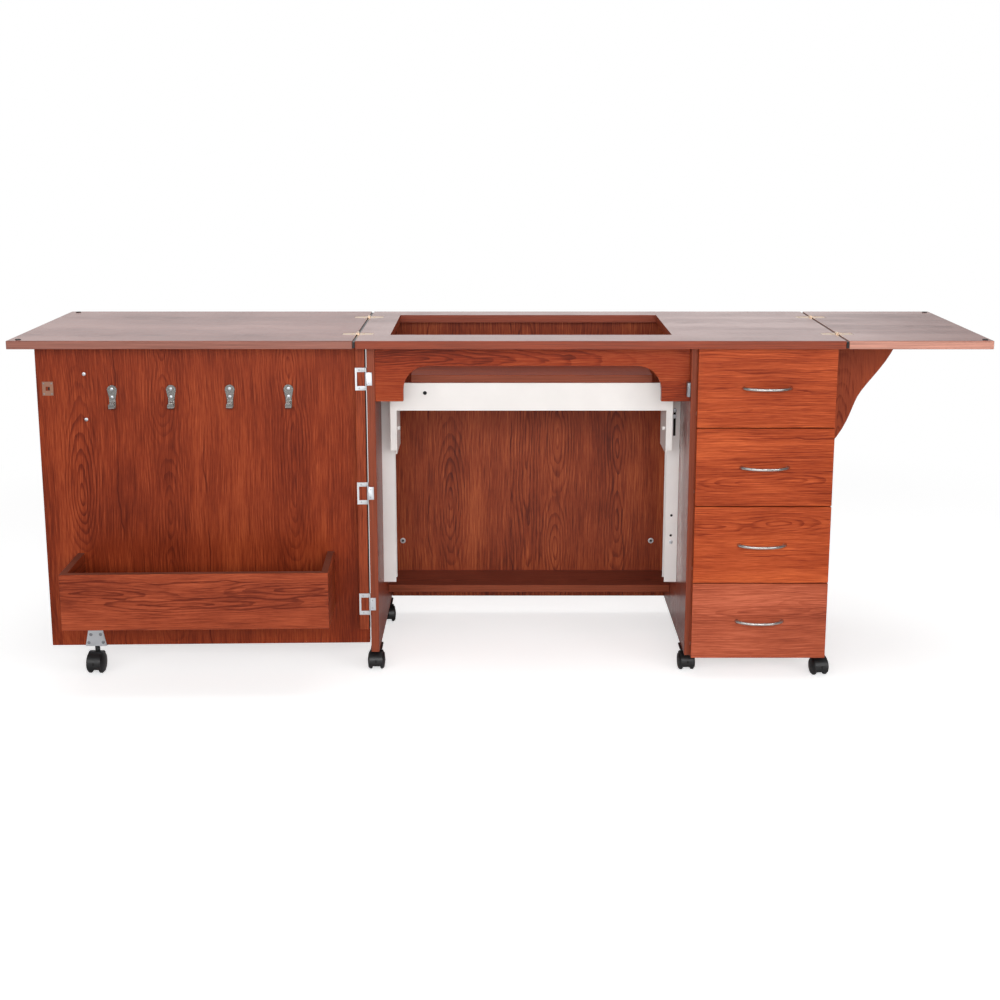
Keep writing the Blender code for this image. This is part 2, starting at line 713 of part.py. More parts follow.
def build_catch(cabinet):
    """Touch catch on the divider, whose nose meets the strike plate of the closed door."""
    out = KNEE_RIGHT - FIT
    front = FRONT_SETBACK + CATCH_INSET
    half = CATCH_HEIGHT / 2
    nose = CATCH_NOSE_HEIGHT / 2
    body = box_mesh((-CATCH_WIDTH, 0.0), (0.0, CATCH_DEPTH), (-half, half))
    tip = box_mesh((-CATCH_WIDTH + STEEL / 2, -STEEL / 2), (-CATCH_NOSE, STEEL), (-nose, nose))
    place("touch_catch", join(body, tip), cabinet, (out, front, STRIKE_Z), ZINC)


def build_bracket(door):
    """Angle plate on the door's inner face, bent in under its foot, that carries the door's caster."""
    back = DOOR_FACE - FIT
    middle_x = AXIS_X - DOOR_STEM_NEAR
    foot = LEDGE_TOP - BRACKET_SHEET
    wide = BRACKET_WIDTH / 2
    narrow = BRACKET_TOP_WIDTH / 2
    points = [(-wide, 0.0), (wide, 0.0), (narrow, BRACKET_HEIGHT), (-narrow, BRACKET_HEIGHT)]
    plate = outline_mesh(points, BRACKET_SHEET, FACING_Y)
    plate.transform(Matrix.Translation((0.0, -BRACKET_SHEET / 2, 0.0)))
    ledge = box_mesh((-wide, wide), (-BRACKET_SHEET / 2, FIT + BRACKET_LEDGE), (0.0, BRACKET_SHEET))
    place("door_caster_bracket", join(plate, ledge), door, (middle_x, back, foot), ZINC)


def build_door_hinges(cabinet, door):
    """Ladder hinges: a small leaf on the panel's edge folds into the window of the large leaf."""
    frame_leaf = frame_leaf_mesh()
    door_leaf = door_leaf_mesh()
    lowest = CASTER_HEIGHT + DOOR_HINGE_RISE
    highest = UNDER_TOP - DOOR_HINGE_DROP
    for number in range(DOOR_HINGES):
        at = (AXIS_X, AXIS_Y, lowest + (highest - lowest) * number / (DOOR_HINGES - 1))
        smooth(place(f"door_hinge_frame_leaf_{number + 1}", frame_leaf, cabinet, at, ZINC))
        smooth(place(f"door_hinge_leaf_{number + 1}", door_leaf, door, at, ZINC))


def frame_leaf_mesh():
    """Small leaf with the middle knuckle and the pin, about the hinge line."""
    sheet = (-DOOR_HINGE_SHEET / 2, DOOR_HINGE_SHEET / 2)
    half = FRAME_LEAF_LENGTH / 2
    plate = box_mesh((0.0, FRAME_LEAF_WIDTH), sheet, (-half, half))
    knuckle = round_bar_mesh(DOOR_HINGE_BARREL, FRAME_LEAF_LENGTH)
    pin = round_bar_mesh(DOOR_HINGE_PIN, DOOR_HINGE_LENGTH)
    return join(plate, knuckle, pin)


def door_leaf_mesh():
    """Large leaf: a frame open towards the hinge line, with a bored knuckle at each end."""
    sheet = (-DOOR_HINGE_SHEET / 2, DOOR_HINGE_SHEET / 2)
    half = DOOR_HINGE_LENGTH / 2
    window = FRAME_LEAF_LENGTH / 2 + WINDOW_GAP
    width = DOOR_NEAR + STRIP_WIDTH
    leaf = box_mesh((-width, 0.0), sheet, (-half, half))
    hole = box_mesh((DOOR_LEAF_BAR - width, CUT_OVERRUN), (-CUT_OVERRUN, CUT_OVERRUN), (-window, window))
    length = half - window
    upper = round_bar_mesh(DOOR_HINGE_BARREL, length, at=(0.0, 0.0, half - length / 2))
    lower = round_bar_mesh(DOOR_HINGE_BARREL, length, at=(0.0, 0.0, length / 2 - half))
    bore = round_bar_mesh(DOOR_HINGE_BORE, DOOR_HINGE_LENGTH + CUT_OVERRUN)
    steps = (("DIFFERENCE", hole), ("UNION", upper), ("UNION", lower), ("DIFFERENCE", bore))
    return combine(leaf, *steps)


def build_wing(wing):
    """Ogee wing on the right panel that swings out under the right leaf."""
    head = UNDER_TOP - WING_TOP_GAP
    start = (WING_REACH, 0.0)
    down = [(across, -drop) for across, drop in (
        WING_SHOULDER, WING_HOLLOW, WING_WAIST, WING_SWELL, WING_BELLY, WING_TIP
    )]
    points = [(0.0, 0.0), start]
    points += bend(start, *down[:3], WING_STEPS)
    points += bend(*down[2:], WING_STEPS)
    points.append((0.0, down[-1][1]))
    place("leaf_wing", outline_mesh(points, BOARD, FACING_Y), wing, (RIGHT_FACE + WING_GAP, WING_Y, head), TEAK)


def build_rails(cabinet):
    """Channel rails on the left panel and the divider, open towards the lift."""
    deep = (RAIL_FRONT, RAIL_FRONT + RAIL_DEPTH)
    tall = (RAIL_FOOT, PANEL_HEAD - RAIL_HEAD_GAP)
    hollow_deep = (deep[0] + RAIL_STEEL, deep[1] - RAIL_STEEL)
    hollow_tall = (tall[0] - CUT_OVERRUN, tall[1] + CUT_OVERRUN)
    for name, face, inward in (("left", KNEE_LEFT, 1), ("right", KNEE_RIGHT, -1)):
        channel = box_mesh(reach(face, inward, FIT, FIT + RAIL_WIDTH), deep, tall)
        hollow = reach(face, inward, FIT + RAIL_STEEL, FIT + RAIL_WIDTH + CUT_OVERRUN)
        mesh = combine(channel, ("DIFFERENCE", box_mesh(hollow, hollow_deep, hollow_tall)))
        place(f"lift_rail_{name}", mesh, cabinet, (0.0, 0.0, 0.0), WHITE_STEEL)


def reach(face, inward, near, far):
    """The (low, high) span between two distances inward from a face."""
    return tuple(sorted((face + inward * near, face + inward * far)))


def build_lift(lift):
    """Steel frame that runs in the rails, and the platform on it that carries the machine."""
    front = (LIFT_FRONT, LIFT_FRONT + STEEL)
    bar_foot = BAR_TOP - BAR_HEIGHT
    bar_span = (KNEE_LEFT + LEG_INSET, KNEE_RIGHT - LEG_INSET)
    bar = box_mesh(bar_span, front, (bar_foot, BAR_TOP))
    shelf_span = (KNEE_MIDDLE - PLATFORM_WIDTH / 2, KNEE_MIDDLE + PLATFORM_WIDTH / 2)
    shelf_steel = (BAR_TOP - STEEL, BAR_TOP)
    pieces = [box_mesh(shelf_span, (LIFT_FRONT, LIFT_FRONT + ARM_WIDTH), shelf_steel)]
    run_depth = (RAIL_FRONT + RAIL_STEEL + RUN, RAIL_FRONT + RAIL_DEPTH - RAIL_STEEL - RUN)
    slider_foot = BAR_TOP - SIDE_DROP - BAR_HEIGHT / 2
    inner = LEG_INSET + LEG_WIDTH
    for face, inward in ((KNEE_LEFT, 1), (KNEE_RIGHT, -1)):
        leg = reach(face, inward, LEG_INSET, inner)
        side = reach(face, inward, inner - STEEL, inner)
        slider = reach(face, inward, FIT + RAIL_STEEL + RUN, inner - STEEL / 2)
        arm_from = KNEEHOLE_WIDTH / 2 - PLATFORM_WIDTH / 2 + ARM_INSET
        arm = reach(face, inward, arm_from, arm_from + ARM_WIDTH)
        pieces.append(box_mesh(leg, front, (bar_foot - LEG_DROP, BAR_TOP)))
        pieces.append(box_mesh(side, (LIFT_FRONT, run_depth[1]), (bar_foot - SIDE_DROP, BAR_TOP)))
        pieces.append(box_mesh(slider, run_depth, (slider_foot, slider_foot + SLIDER_HEIGHT)))
        pieces.append(box_mesh(arm, (LIFT_FRONT, LIFT_FRONT + ARM_DEPTH), shelf_steel))
    place("lift_frame", join(bar, *pieces), lift, (0.0, 0.0, 0.0), WHITE_STEEL)
    deck = (LIFT_FRONT, LIFT_FRONT + PLATFORM_DEPTH)
    board("lift_platform", shelf_span, deck, (PLATFORM_TOP - BOARD, PLATFORM_TOP), lift, TEAK)


def hood_mesh(stem_top, wheel):
    """Caster housing about its stem: a bored web, a hood over the wheels and the stem."""
    outer = wheel + HOOD_GAP + HOOD_SHELL
    inner = wheel + HOOD_GAP
    axle = (-TRAIL, wheel)
    web = arc(axle, (inner + outer) / 2, -WEB_CHORD, math.pi + WEB_CHORD, 2 * HOOD_STEPS)
    shell = arc(axle, outer, HOOD_FROM, HOOD_TO, HOOD_STEPS)
    shell += arc(axle, inner, HOOD_TO, HOOD_FROM, HOOD_STEPS)
    along_x = Matrix.Rotation(math.pi / 2, 4, "Y")
    bore = round_bar_mesh(AXLE_BORE, WEB_WIDTH + CUT_OVERRUN, along_x, (0.0, *axle))
    stem_foot = wheel + AXLE_BORE + HOOD_SHELL
    stem = round_bar_mesh(STEM_RADIUS, stem_top - stem_foot, at=(0.0, 0.0, (stem_top + stem_foot) / 2))
    return combine(
        outline_mesh(web, WEB_WIDTH, FACING_X),
        ("UNION", outline_mesh(shell, HOOD_WIDTH, FACING_X)),
        ("UNION", stem),
        ("DIFFERENCE", bore),
    )


def wheels_mesh(wheel):
    """Both wheels on their axle, turned about X: domed outer sides and rounded shoulders."""
    inner = WEB_WIDTH / 2 + WEB_GAP
    rim = wheel - WHEEL_SHOULDER
    half = [
        (0.0, WHEEL_SIDE),
        (rim, WHEEL_SIDE - WHEEL_DOME),
        (wheel, WHEEL_SIDE - WHEEL_DOME - WHEEL_SHOULDER),
        (wheel, inner + WHEEL_SHOULDER / 2),
        (wheel - WHEEL_SHOULDER / 2, inner),
        (AXLE_RADIUS, inner),
    ]
    profile = half + [(radius, -side) for radius, side in reversed(half)]
    work = bmesh.new()
    corners = [work.verts.new((radius, 0.0, side)) for radius, side in profile]
    for first, second in zip(corners, corners[1:]):
        work.edges.new((first, second))
    spool = bpy.data.objects.new("wheels", to_mesh(work))
    CUTTERS.objects.link(spool)
    turned = spool.modifiers.new("turned", "SCREW")
    turned.steps = WHEEL_STEPS
    turned.render_steps = WHEEL_STEPS
    turned.use_merge_vertices = True
    turned.merge_threshold = WELD
    mesh = bake(spool)
    mesh.transform(Matrix.Rotation(math.pi / 2, 4, "Y"))
    return mesh


def build_casters(cabinet, door):
    """Casters under the panels' edges and under the door's bracket, each free to swivel."""
    small = (hood_mesh(CASTER_HEIGHT - FIT, WHEEL_RADIUS), wheels_mesh(WHEEL_RADIUS), WHEEL_RADIUS)
    stem_top = LEDGE_TOP - BRACKET_SHEET - FIT
    large = (hood_mesh(stem_top, DOOR_WHEEL_RADIUS), wheels_mesh(DOOR_WHEEL_RADIUS), DOOR_WHEEL_RADIUS)
    left = LEFT_OVERHANG + BOARD / 2
    divider = KNEE_RIGHT + BOARD / 2
    right = BAY_RIGHT + BOARD / 2
    rear = PANEL_BACK - REAR_STEM_INSET
    door_y = DOOR_FACE + BOARD / 2
    places = (
        ("left_front", cabinet, small, left, LEFT_FRONT + FRONT_STEM_INSET, 0.0),
        ("left_rear", cabinet, small, left, rear, 8.0),
        ("divider_front", cabinet, small, divider, FRONT_SETBACK + DIVIDER_STEM_INSET, 4.0),
        ("right_front", cabinet, small, right, FRONT_SETBACK + RIGHT_STEM_INSET, 9.0),
        ("right_rear", cabinet, small, right, rear, -8.0),
        ("door", door, large, AXIS_X - DOOR_STEM_NEAR, door_y, -4.0),
    )
    for name, holder, (hood, wheels, radius), x, y, turn in places:
        swivel = pivot(f"caster_{name}_swivel", (x, y, 0.0), holder, math.radians(turn))
        smooth(place(f"caster_{name}_housing", hood, swivel, (x, y, 0.0), BLACK_PLASTIC))
        axle = (x, y - TRAIL, radius)
        smooth(place(f"caster_{name}_wheels", wheels, swivel, axle, BLACK_PLASTIC))


def build_cabinet():
    """Builds every piece around the pivots of the moving ones."""
    cabinet = pivot("cabinet_origin", (0.0, 0.0, 0.0))
    cabinet.location = (-MIDDLE_X, -MIDDLE_Y, 0.0)
    left_leaf = pivot("left_leaf_fold", (-LEAF_GAP / 2, 0.0, FOLD_Z), cabinet)
    right_leaf = pivot("right_leaf_fold", (MAIN_WIDTH + LEAF_GAP / 2, 0.0, FOLD_Z), cabinet)
    door = pivot("door_swing", (AXIS_X, AXIS_Y, 0.0), cabinet, DOOR_AJAR)
    wing = pivot("wing_swing", (RIGHT_FACE + WING_GAP, WING_Y + BOARD / 2, 0.0), cabinet)
    lift = pivot("lift_slide", (KNEE_MIDDLE, LIFT_FRONT, PLATFORM_TOP), cabinet)
    pull = pull_mesh()
    build_top(cabinet, left_leaf, right_leaf)
    build_carcass(cabinet)
    build_drawers(cabinet, pull)
    build_door(door, pull)
    build_door_hinges(cabinet, door)
    build_catch(cabinet)
    build_wing(wing)
    build_rails(cabinet)
    build_lift(lift)
    build_casters(cabinet, door)


build_cabinet()
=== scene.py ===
"""Looks of the sewing cabinet: finishes for every solid, its small hardware, the studio and the camera.

Everything is in metres in the cabinet's own frame: X to the right, Y to the back, Z up from the floor.
"""

import json
import logging
import math
from dataclasses import dataclass, field
from enum import Enum
from typing import Any, Mapping, Optional, Sequence, Union

import bmesh
import bpy
from mathutils import Matrix, Vector

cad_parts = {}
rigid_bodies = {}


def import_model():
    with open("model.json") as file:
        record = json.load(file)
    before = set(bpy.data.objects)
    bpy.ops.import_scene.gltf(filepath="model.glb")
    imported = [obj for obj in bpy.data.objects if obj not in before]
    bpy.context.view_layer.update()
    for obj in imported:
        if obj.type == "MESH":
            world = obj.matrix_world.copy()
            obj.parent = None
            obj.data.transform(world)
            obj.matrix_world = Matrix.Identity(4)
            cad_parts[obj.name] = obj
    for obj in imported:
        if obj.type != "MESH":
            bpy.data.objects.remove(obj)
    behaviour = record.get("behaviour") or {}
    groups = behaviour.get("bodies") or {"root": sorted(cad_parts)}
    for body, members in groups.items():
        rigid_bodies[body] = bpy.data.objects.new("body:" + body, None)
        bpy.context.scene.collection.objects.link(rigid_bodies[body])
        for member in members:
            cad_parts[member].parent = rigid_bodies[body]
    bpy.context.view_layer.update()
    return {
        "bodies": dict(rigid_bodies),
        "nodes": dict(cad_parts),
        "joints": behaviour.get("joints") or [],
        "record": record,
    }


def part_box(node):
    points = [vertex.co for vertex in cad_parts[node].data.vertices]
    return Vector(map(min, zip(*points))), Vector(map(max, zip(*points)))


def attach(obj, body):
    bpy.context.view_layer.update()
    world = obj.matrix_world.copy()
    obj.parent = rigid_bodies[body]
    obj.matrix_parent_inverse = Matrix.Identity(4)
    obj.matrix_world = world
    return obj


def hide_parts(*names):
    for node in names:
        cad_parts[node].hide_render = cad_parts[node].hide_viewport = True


LOG = logging.getLogger("sewing_cabinet")
Colour = tuple[float, float, float]
Pair = tuple[float, float]
Number = Union[float, "Signal"]
Frame = Mapping[str, Any]
Mesh = bpy.types.Mesh
Node = bpy.types.Node
Socket = bpy.types.NodeSocket
Placed = tuple[Mesh, Matrix]
Triple = tuple[float, float, float]
SIDES = (("left", -1.0), ("right", 1.0))


class Signal:
    """One value of a shader, which takes part in arithmetic."""

    def __init__(self, graph: "Graph", socket: Socket) -> None:
        """Wraps an output socket of a graph's node."""
        self.graph = graph
        self.socket = socket

    def __add__(self, other: Number) -> "Signal":
        """Sum."""
        return self.graph.math("ADD", self, other)

    def __radd__(self, other: Number) -> "Signal":
        """Sum, the other way round."""
        return self.graph.math("ADD", other, self)

    def __sub__(self, other: Number) -> "Signal":
        """Difference."""
        return self.graph.math("SUBTRACT", self, other)

    def __rsub__(self, other: Number) -> "Signal":
        """Difference, the other way round."""
        return self.graph.math("SUBTRACT", other, self)

    def __mul__(self, other: Number) -> "Signal":
        """Product."""
        return self.graph.math("MULTIPLY", self, other)

    def __rmul__(self, other: Number) -> "Signal":
        """Product, the other way round."""
        return self.graph.math("MULTIPLY", other, self)

    def __truediv__(self, other: Number) -> "Signal":
        """Quotient."""
        return self.graph.math("DIVIDE", self, other)

    def __pow__(self, other: Number) -> "Signal":
        """Power."""
        return self.graph.math("POWER", self, other)

    def __abs__(self) -> "Signal":
        """Size without sign."""
        return self.graph.math("ABSOLUTE", self)

    def fraction(self) -> "Signal":
        """What is left above the whole number below."""
        return self.graph.math("FRACT", self)

    def root(self) -> "Signal":
        """Square root."""
        return self.graph.math("SQRT", self)

    def above(self, edge: float) -> "Signal":
        """One where the value is above an edge, else zero."""
        return self.graph.math("GREATER_THAN", self, edge)

    def eased(self, low: float, high: float) -> "Signal":
        """A smooth step.

        Args:
            low: Value that gives zero.
            high: Value that gives one.

        Returns:
            The stepped value.
        """
        settings = {"interpolation_type": "SMOOTHSTEP"}
        node = self.graph.node("ShaderNodeMapRange", settings, {0: self, 1: low, 2: high})
        return Signal(self.graph, node.outputs[0])


def opaque(colour: Any) -> Any:
    """A colour with its alpha of one, or a socket as it is."""
    return (*colour, 1.0) if isinstance(colour, tuple) else colour


class Graph:
    """The node tree of one material or of the world."""

    def __init__(self, tree: bpy.types.NodeTree) -> None:
        """Takes over a tree and empties it."""
        self.tree = tree
        self.tree.nodes.clear()

    def node(
        self,
        kind: str,
        settings: Optional[Mapping[str, Any]] = None,
        values: Optional[Mapping[Union[int, str], Any]] = None,
    ) -> Node:
        """Adds a node.

        Args:
            kind: The node's type.
            settings: Its own settings, set first; "stops" holds a ramp's places and colours.
            values: Socket names or numbers, with a value, a signal or an output socket for each.

        Returns:
            The node.
        """
        node = self.tree.nodes.new(kind)
        for key, value in (settings or {}).items():
            if key == "stops":
                self._set_stops(node.color_ramp, value)
            else:
                setattr(node, key, value)
        for key, value in (values or {}).items():
            value = value.socket if isinstance(value, Signal) else value
            if isinstance(value, Socket):
                self.tree.links.new(value, node.inputs[key])
            else:
                node.inputs[key].default_value = value
        return node

    @staticmethod
    def _set_stops(ramp: bpy.types.ColorRamp, stops: Sequence[tuple[float, Colour]]) -> None:
        """Sets the stops of a colour ramp.

        Args:
            ramp: The ramp.
            stops: Place and colour of each stop.
        """
        while len(ramp.elements) < len(stops):
            ramp.elements.new(0.5)
        for element, (place, colour) in zip(ramp.elements, stops):
            element.position = place
            element.color = opaque(colour)

    def math(self, operation: str, *terms: Number) -> Signal:
        """A Math node on one, two or three terms."""
        node = self.node("ShaderNodeMath", {"operation": operation}, dict(enumerate(terms)))
        return Signal(self, node.outputs[0])

    def vector(self, operation: str, output: str, *terms: Any) -> Socket:
        """One output of a Vector Math node."""
        node = self.node("ShaderNodeVectorMath", {"operation": operation}, dict(enumerate(terms)))
        return node.outputs[output]

    def coordinates(self, output: str) -> Socket:
        """A vector that belongs to the object: its "Object" place or its "Normal"."""
        return self.node("ShaderNodeTexCoord").outputs[output]

    def along(self, vector: Socket, direction: Sequence[float]) -> Signal:
        """How far a vector reaches along a direction."""
        return Signal(self, self.vector("DOT_PRODUCT", "Value", vector, direction))

    def ray(self, kind: str) -> Signal:
        """One for light rays of a kind, such as "Is Camera Ray", else zero."""
        return Signal(self, self.node("ShaderNodeLightPath").outputs[kind])

    def point(self, x: Number, y: Number, z: Number) -> Socket:
        """A vector from its three parts."""
        return self.node("ShaderNodeCombineXYZ", None, {0: x, 1: y, 2: z}).outputs[0]

    def scaled(self, vector: Socket, x: float, y: float, z: float) -> Socket:
        """A vector with each of its parts multiplied."""
        return self.vector("MULTIPLY", "Vector", vector, (x, y, z))

    def noise(self, place: Socket, detail: float) -> Signal:
        """Soft noise at a place, from zero to one, with a number of finer layers."""
        values = {"Vector": place, "Scale": 1.0, "Detail": detail, "Roughness": 0.55}
        return Signal(self, self.node("ShaderNodeTexNoise", None, values).outputs["Fac"])

    def ramp(self, value: Signal, stops: Sequence[tuple[float, Colour]]) -> Socket:
        """A colour from a row of stops."""
        return self.node("ShaderNodeValToRGB", {"stops": stops}, {0: value}).outputs["Color"]

    def mix(self, share: Number, first: Any, second: Any) -> Socket:
        """A mix of two colours or colour sockets, with a share of the second."""
        values = {0: share, 6: opaque(first), 7: opaque(second)}
        return self.node("ShaderNodeMix", {"data_type": "RGBA"}, values).outputs[2]

    def blend(self, share: Signal, first: Node, second: Node) -> Node:
        """A mix of two shaders."""
        return self.node("ShaderNodeMixShader", None, {0: share, 1: first.outputs[0], 2: second.outputs[0]})

    def surface(
        self, colour: Any, roughness: Number, relief: Signal, relief_depth: float, **others: Number
    ) -> None:
        """Ends the graph in one shader.

        Args:
            colour: Base colour's socket.
            roughness: Roughness.
            relief: Height for the bump, from zero to one.
            relief_depth: How deep that relief is.
            others: Other sockets of the shader, with underscores for spaces.
        """
        heights = {"Distance": relief_depth, "Height": relief, "Strength": 1.0}
        bump = self.node("ShaderNodeBump", None, heights)
        values = {"Base Color": colour, "Roughness": roughness, "Normal": bump.outputs[0]}
        values.update({name.replace("_", " "): value for name, value in others.items()})
        shader = self.node("ShaderNodeBsdfPrincipled", None, values)
        self.node("ShaderNodeOutputMaterial", None, {"Surface": shader.outputs[0]})


class Slot(Enum):
    """The record's material slots."""

    TEAK = "teak_laminate"
    LINING = "drawer_lining"
    BLACK = "black_plastic"
    ZINC = "zinc_plate"
    BRASS = "pale_brass"
    NICKEL = "satin_nickel"
    WHITE = "white_steel"


class Finish:
    """A finish that becomes one material the first time it is asked for."""

    name: str
    slot: Slot

    def material(self) -> bpy.types.Material:
        """The material of this finish.

        Returns:
            The one material that all pieces with this finish share.
        """
        found = bpy.data.materials.get(f"look_{self.name}")
        if found is None:
            found = bpy.data.materials.new(f"look_{self.name}")
            found.use_nodes = True
            self.paint(Graph(found.node_tree))
        return found

    def paint(self, graph: Graph) -> None:
        """Lays the finish down in a graph."""
        raise NotImplementedError("each finish has its own paint")


class Grain(Enum):
    """Which way the wood runs: directions along the grain and across it."""

    UPRIGHT = ((0.0, 0.0, 1.0), (1.0, 1.0, 0.0))
    LEVEL = ((1.0, 0.0, 0.0), (0.0, 1.0, 1.0))
    ROUND_A_BOX = ((1.0, 1.0, 0.0), (0.0, 0.0, 1.0))


class Layer(Enum):
    """Noise in the wood: scales across and along the grain, step of the seed, and detail."""

    DRIFT = (5.0, 2.2, 0.0, 2.0)
    WOBBLE = (40.0, 14.0, 5.0, 3.0)
    LUCK = (13.0, 4.0, 9.0, 2.0)
    BANDS = (14.0, 0.8, 13.0, 2.0)
    CLOUD = (8.0, 4.5, 15.0, 2.0)
    STREAKS = (120.0, 4.0, 17.0, 3.0)
    FINE = (560.0, 10.0, 19.0, 3.0)
    FIBRES = (1000.0, 34.0, 21.0, 3.0)
    PORES = (1100.0, 60.0, 25.0, 1.0)
    TAPE = (420.0, 6.0, 33.0, 3.0)


@dataclass(frozen=True)
class Heart:
    """Middle of a cathedral figure: its place, slimness, how much shorter it is below, and its weight."""

    across: float
    along: float
    slim: float = 0.17
    below: float = 1.0
    weight: float = 1.0


@dataclass(frozen=True)
class Tones:
    """Dark, middle and light colour of the wood."""

    dark: Colour = (0.112, 0.0125, 0.0035)
    body: Colour = (0.245, 0.0330, 0.0085)
    light: Colour = (0.415, 0.0760, 0.0210)


@dataclass(frozen=True)
class Teak(Finish):
    """Printed teak laminate with cathedral figures, wavy dark veins, fine pores and banded edges."""

    name: str
    grain: Grain
    seed: float
    hearts: tuple[Heart, ...]
    veins: tuple[float, ...] = ()
    tones: Tones = Tones()
    ring_pitch: float = 0.0070
    figure: float = 0.62
    reach: Pair = (0.022, 0.060)
    roughness: float = 0.40
    gloss: float = 0.16
    sheen: float = 0.0
    band_along: tuple[Colour, ...] = ()
    band: Colour = (0.280, 0.056, 0.022)
    drift: float = 0.030
    ring_wobble: float = 0.0085
    line_wobble: float = 0.0045
    vein_sway: float = 0.045
    vein_width: Pair = (-0.0012, 0.0042)
    relief: float = 0.00012
    slot: Slot = Slot.TEAK

    def paint(self, graph: Graph) -> None:
        """Lays the finish down in a graph.

        Args:
            graph: The material's graph.
        """
        place = graph.coordinates("Object")
        v, u = (graph.along(place, direction) for direction in self.grain.value)
        bent = u + (self._layer(graph, Layer.DRIFT, u, v) - 0.5) * self.drift
        wobble = self._layer(graph, Layer.WOBBLE, u, v) - 0.5
        away, near = self._from_hearts(graph, bent, v)
        part = ((away + wobble * self.ring_wobble) / self.ring_pitch).fraction()
        late = part.eased(0.40, 0.90) * (1.0 - part.eased(0.92, 1.0))
        luck = self._layer(graph, Layer.LUCK, u, v).eased(0.32, 0.68)
        bands = self._layer(graph, Layer.BANDS, bent, v) - 0.5
        cloud = self._layer(graph, Layer.CLOUD, u, v) - 0.5
        line = bent + wobble * self.line_wobble
        streaks, fine, fibres = (
            self._layer(graph, layer, line, v) - 0.5 for layer in (Layer.STREAKS, Layer.FINE, Layer.FIBRES)
        )
        pores = self._layer(graph, Layer.PORES, u, v).eased(0.58, 0.72)
        tone = 0.54 + bands * 0.95 + cloud * 0.60 + streaks * 0.32 + fine * 1.80 + fibres * 0.9
        tone = tone - late * (0.14 + near * 0.86) * (0.45 + luck * 0.55) * self.figure
        tone = tone - self._veined(graph, u, v) * (0.25 + luck * 0.55) - pores * 0.14
        colour = graph.ramp(tone, [(0.0, self.tones.dark), (0.5, self.tones.body), (1.0, self.tones.light)])
        flat: Number = 1.0
        if self.band_along:
            edge = self._edge(graph)
            flat = 1.0 - edge
            colour = graph.mix(edge, colour, self._banding(graph, place, v))
        height = (fibres + 0.5) * 0.4 + (1.0 - pores) * 0.6
        rough = self.roughness + fine * 0.20 + pores * 0.08 + bands * 0.06
        others: dict[str, Number] = {"Specular_IOR_Level": self.gloss, "Coat_Roughness": 0.24}
        if self.sheen:
            others["Coat_Weight"] = (0.45 + tone * 1.1) * self.sheen * flat
        graph.surface(colour, rough, height, self.relief, **others)

    def _layer(self, graph: Graph, layer: Layer, u: Signal, v: Signal) -> Signal:
        """One layer of noise at a place across and along the grain."""
        across, along, step, detail = layer.value
        return graph.noise(graph.point(u * across, v * along, self.seed + step), detail)

    def _from_hearts(self, graph: Graph, u: Signal, v: Signal) -> tuple[Signal, Signal]:
        """How far the nearest figure's middle is, in widths across the grain, and how strong the figure is.

        Args:
            graph: The graph.
            u: Place across the grain.
            v: Place along the grain.

        Returns:
            The distance, blended where two figures meet, and the strength.
        """
        nearest: Optional[Signal] = None
        strength: Number = 0.0
        for heart in self.hearts:
            rise = (v - heart.along) * heart.slim
            rise = graph.math("MAXIMUM", rise, rise * -heart.below)
            far = ((u - heart.across) ** 2.0 + rise ** 2.0 + 1e-7).root()
            nearest = far if nearest is None else graph.math("SMOOTH_MIN", nearest, far, 0.015)
            strength = graph.math("MAXIMUM", strength, (1.0 - far.eased(*self.reach)) * heart.weight)
        return nearest, strength

    def _veined(self, graph: Graph, u: Signal, v: Signal) -> Number:
        """Strength of the thin dark veins that wander along the grain.

        Args:
            graph: The graph.
            u: Place across the grain.
            v: Place along the grain.

        Returns:
            One on a vein, and zero away from it.
        """
        total: Number = 0.0
        for n, across in enumerate(self.veins):
            bends = graph.noise(graph.point(v * 5.5, 7.0 * n, self.seed + 29.0), 3.0)
            breaks = graph.noise(graph.point(v * 6.0, 7.0 * n + 3.5, self.seed + 31.0), 2.0)
            off = u - across + (bends - 0.5) * self.vein_sway
            start, end = self.vein_width
            line = (1.0 - off.eased(0.0, end)) * off.eased(start, 0.0)
            total = line * breaks.eased(0.40, 0.58) + total
        return total

    def _banding(self, graph: Graph, place: Socket, v: Signal) -> Socket:
        """Colour of the edge tape: fine lines along the grain on a plain ground.

        Args:
            graph: The graph.
            place: The place's vector.
            v: Place along the grain.

        Returns:
            The colour's socket.
        """
        u = graph.along(place, (1.0, 1.0, 1.0)) - v
        shades = ((0.25, 0.62), (0.70, 1.12))
        stops = [(stop, tuple(part * c for c in self.band)) for stop, part in shades]
        return graph.ramp(self._layer(graph, Layer.TAPE, u, v), stops)

    def _edge(self, graph: Graph) -> Number:
        """Finds the banded edges.

        Args:
            graph: The graph.

        Returns:
            One on the faces that look along a banded direction, else zero.
        """
        normal = graph.coordinates("Normal")
        total: Number = 0.0
        for direction in self.band_along:
            total = abs(graph.along(normal, direction)).above(0.8) + total
        return total


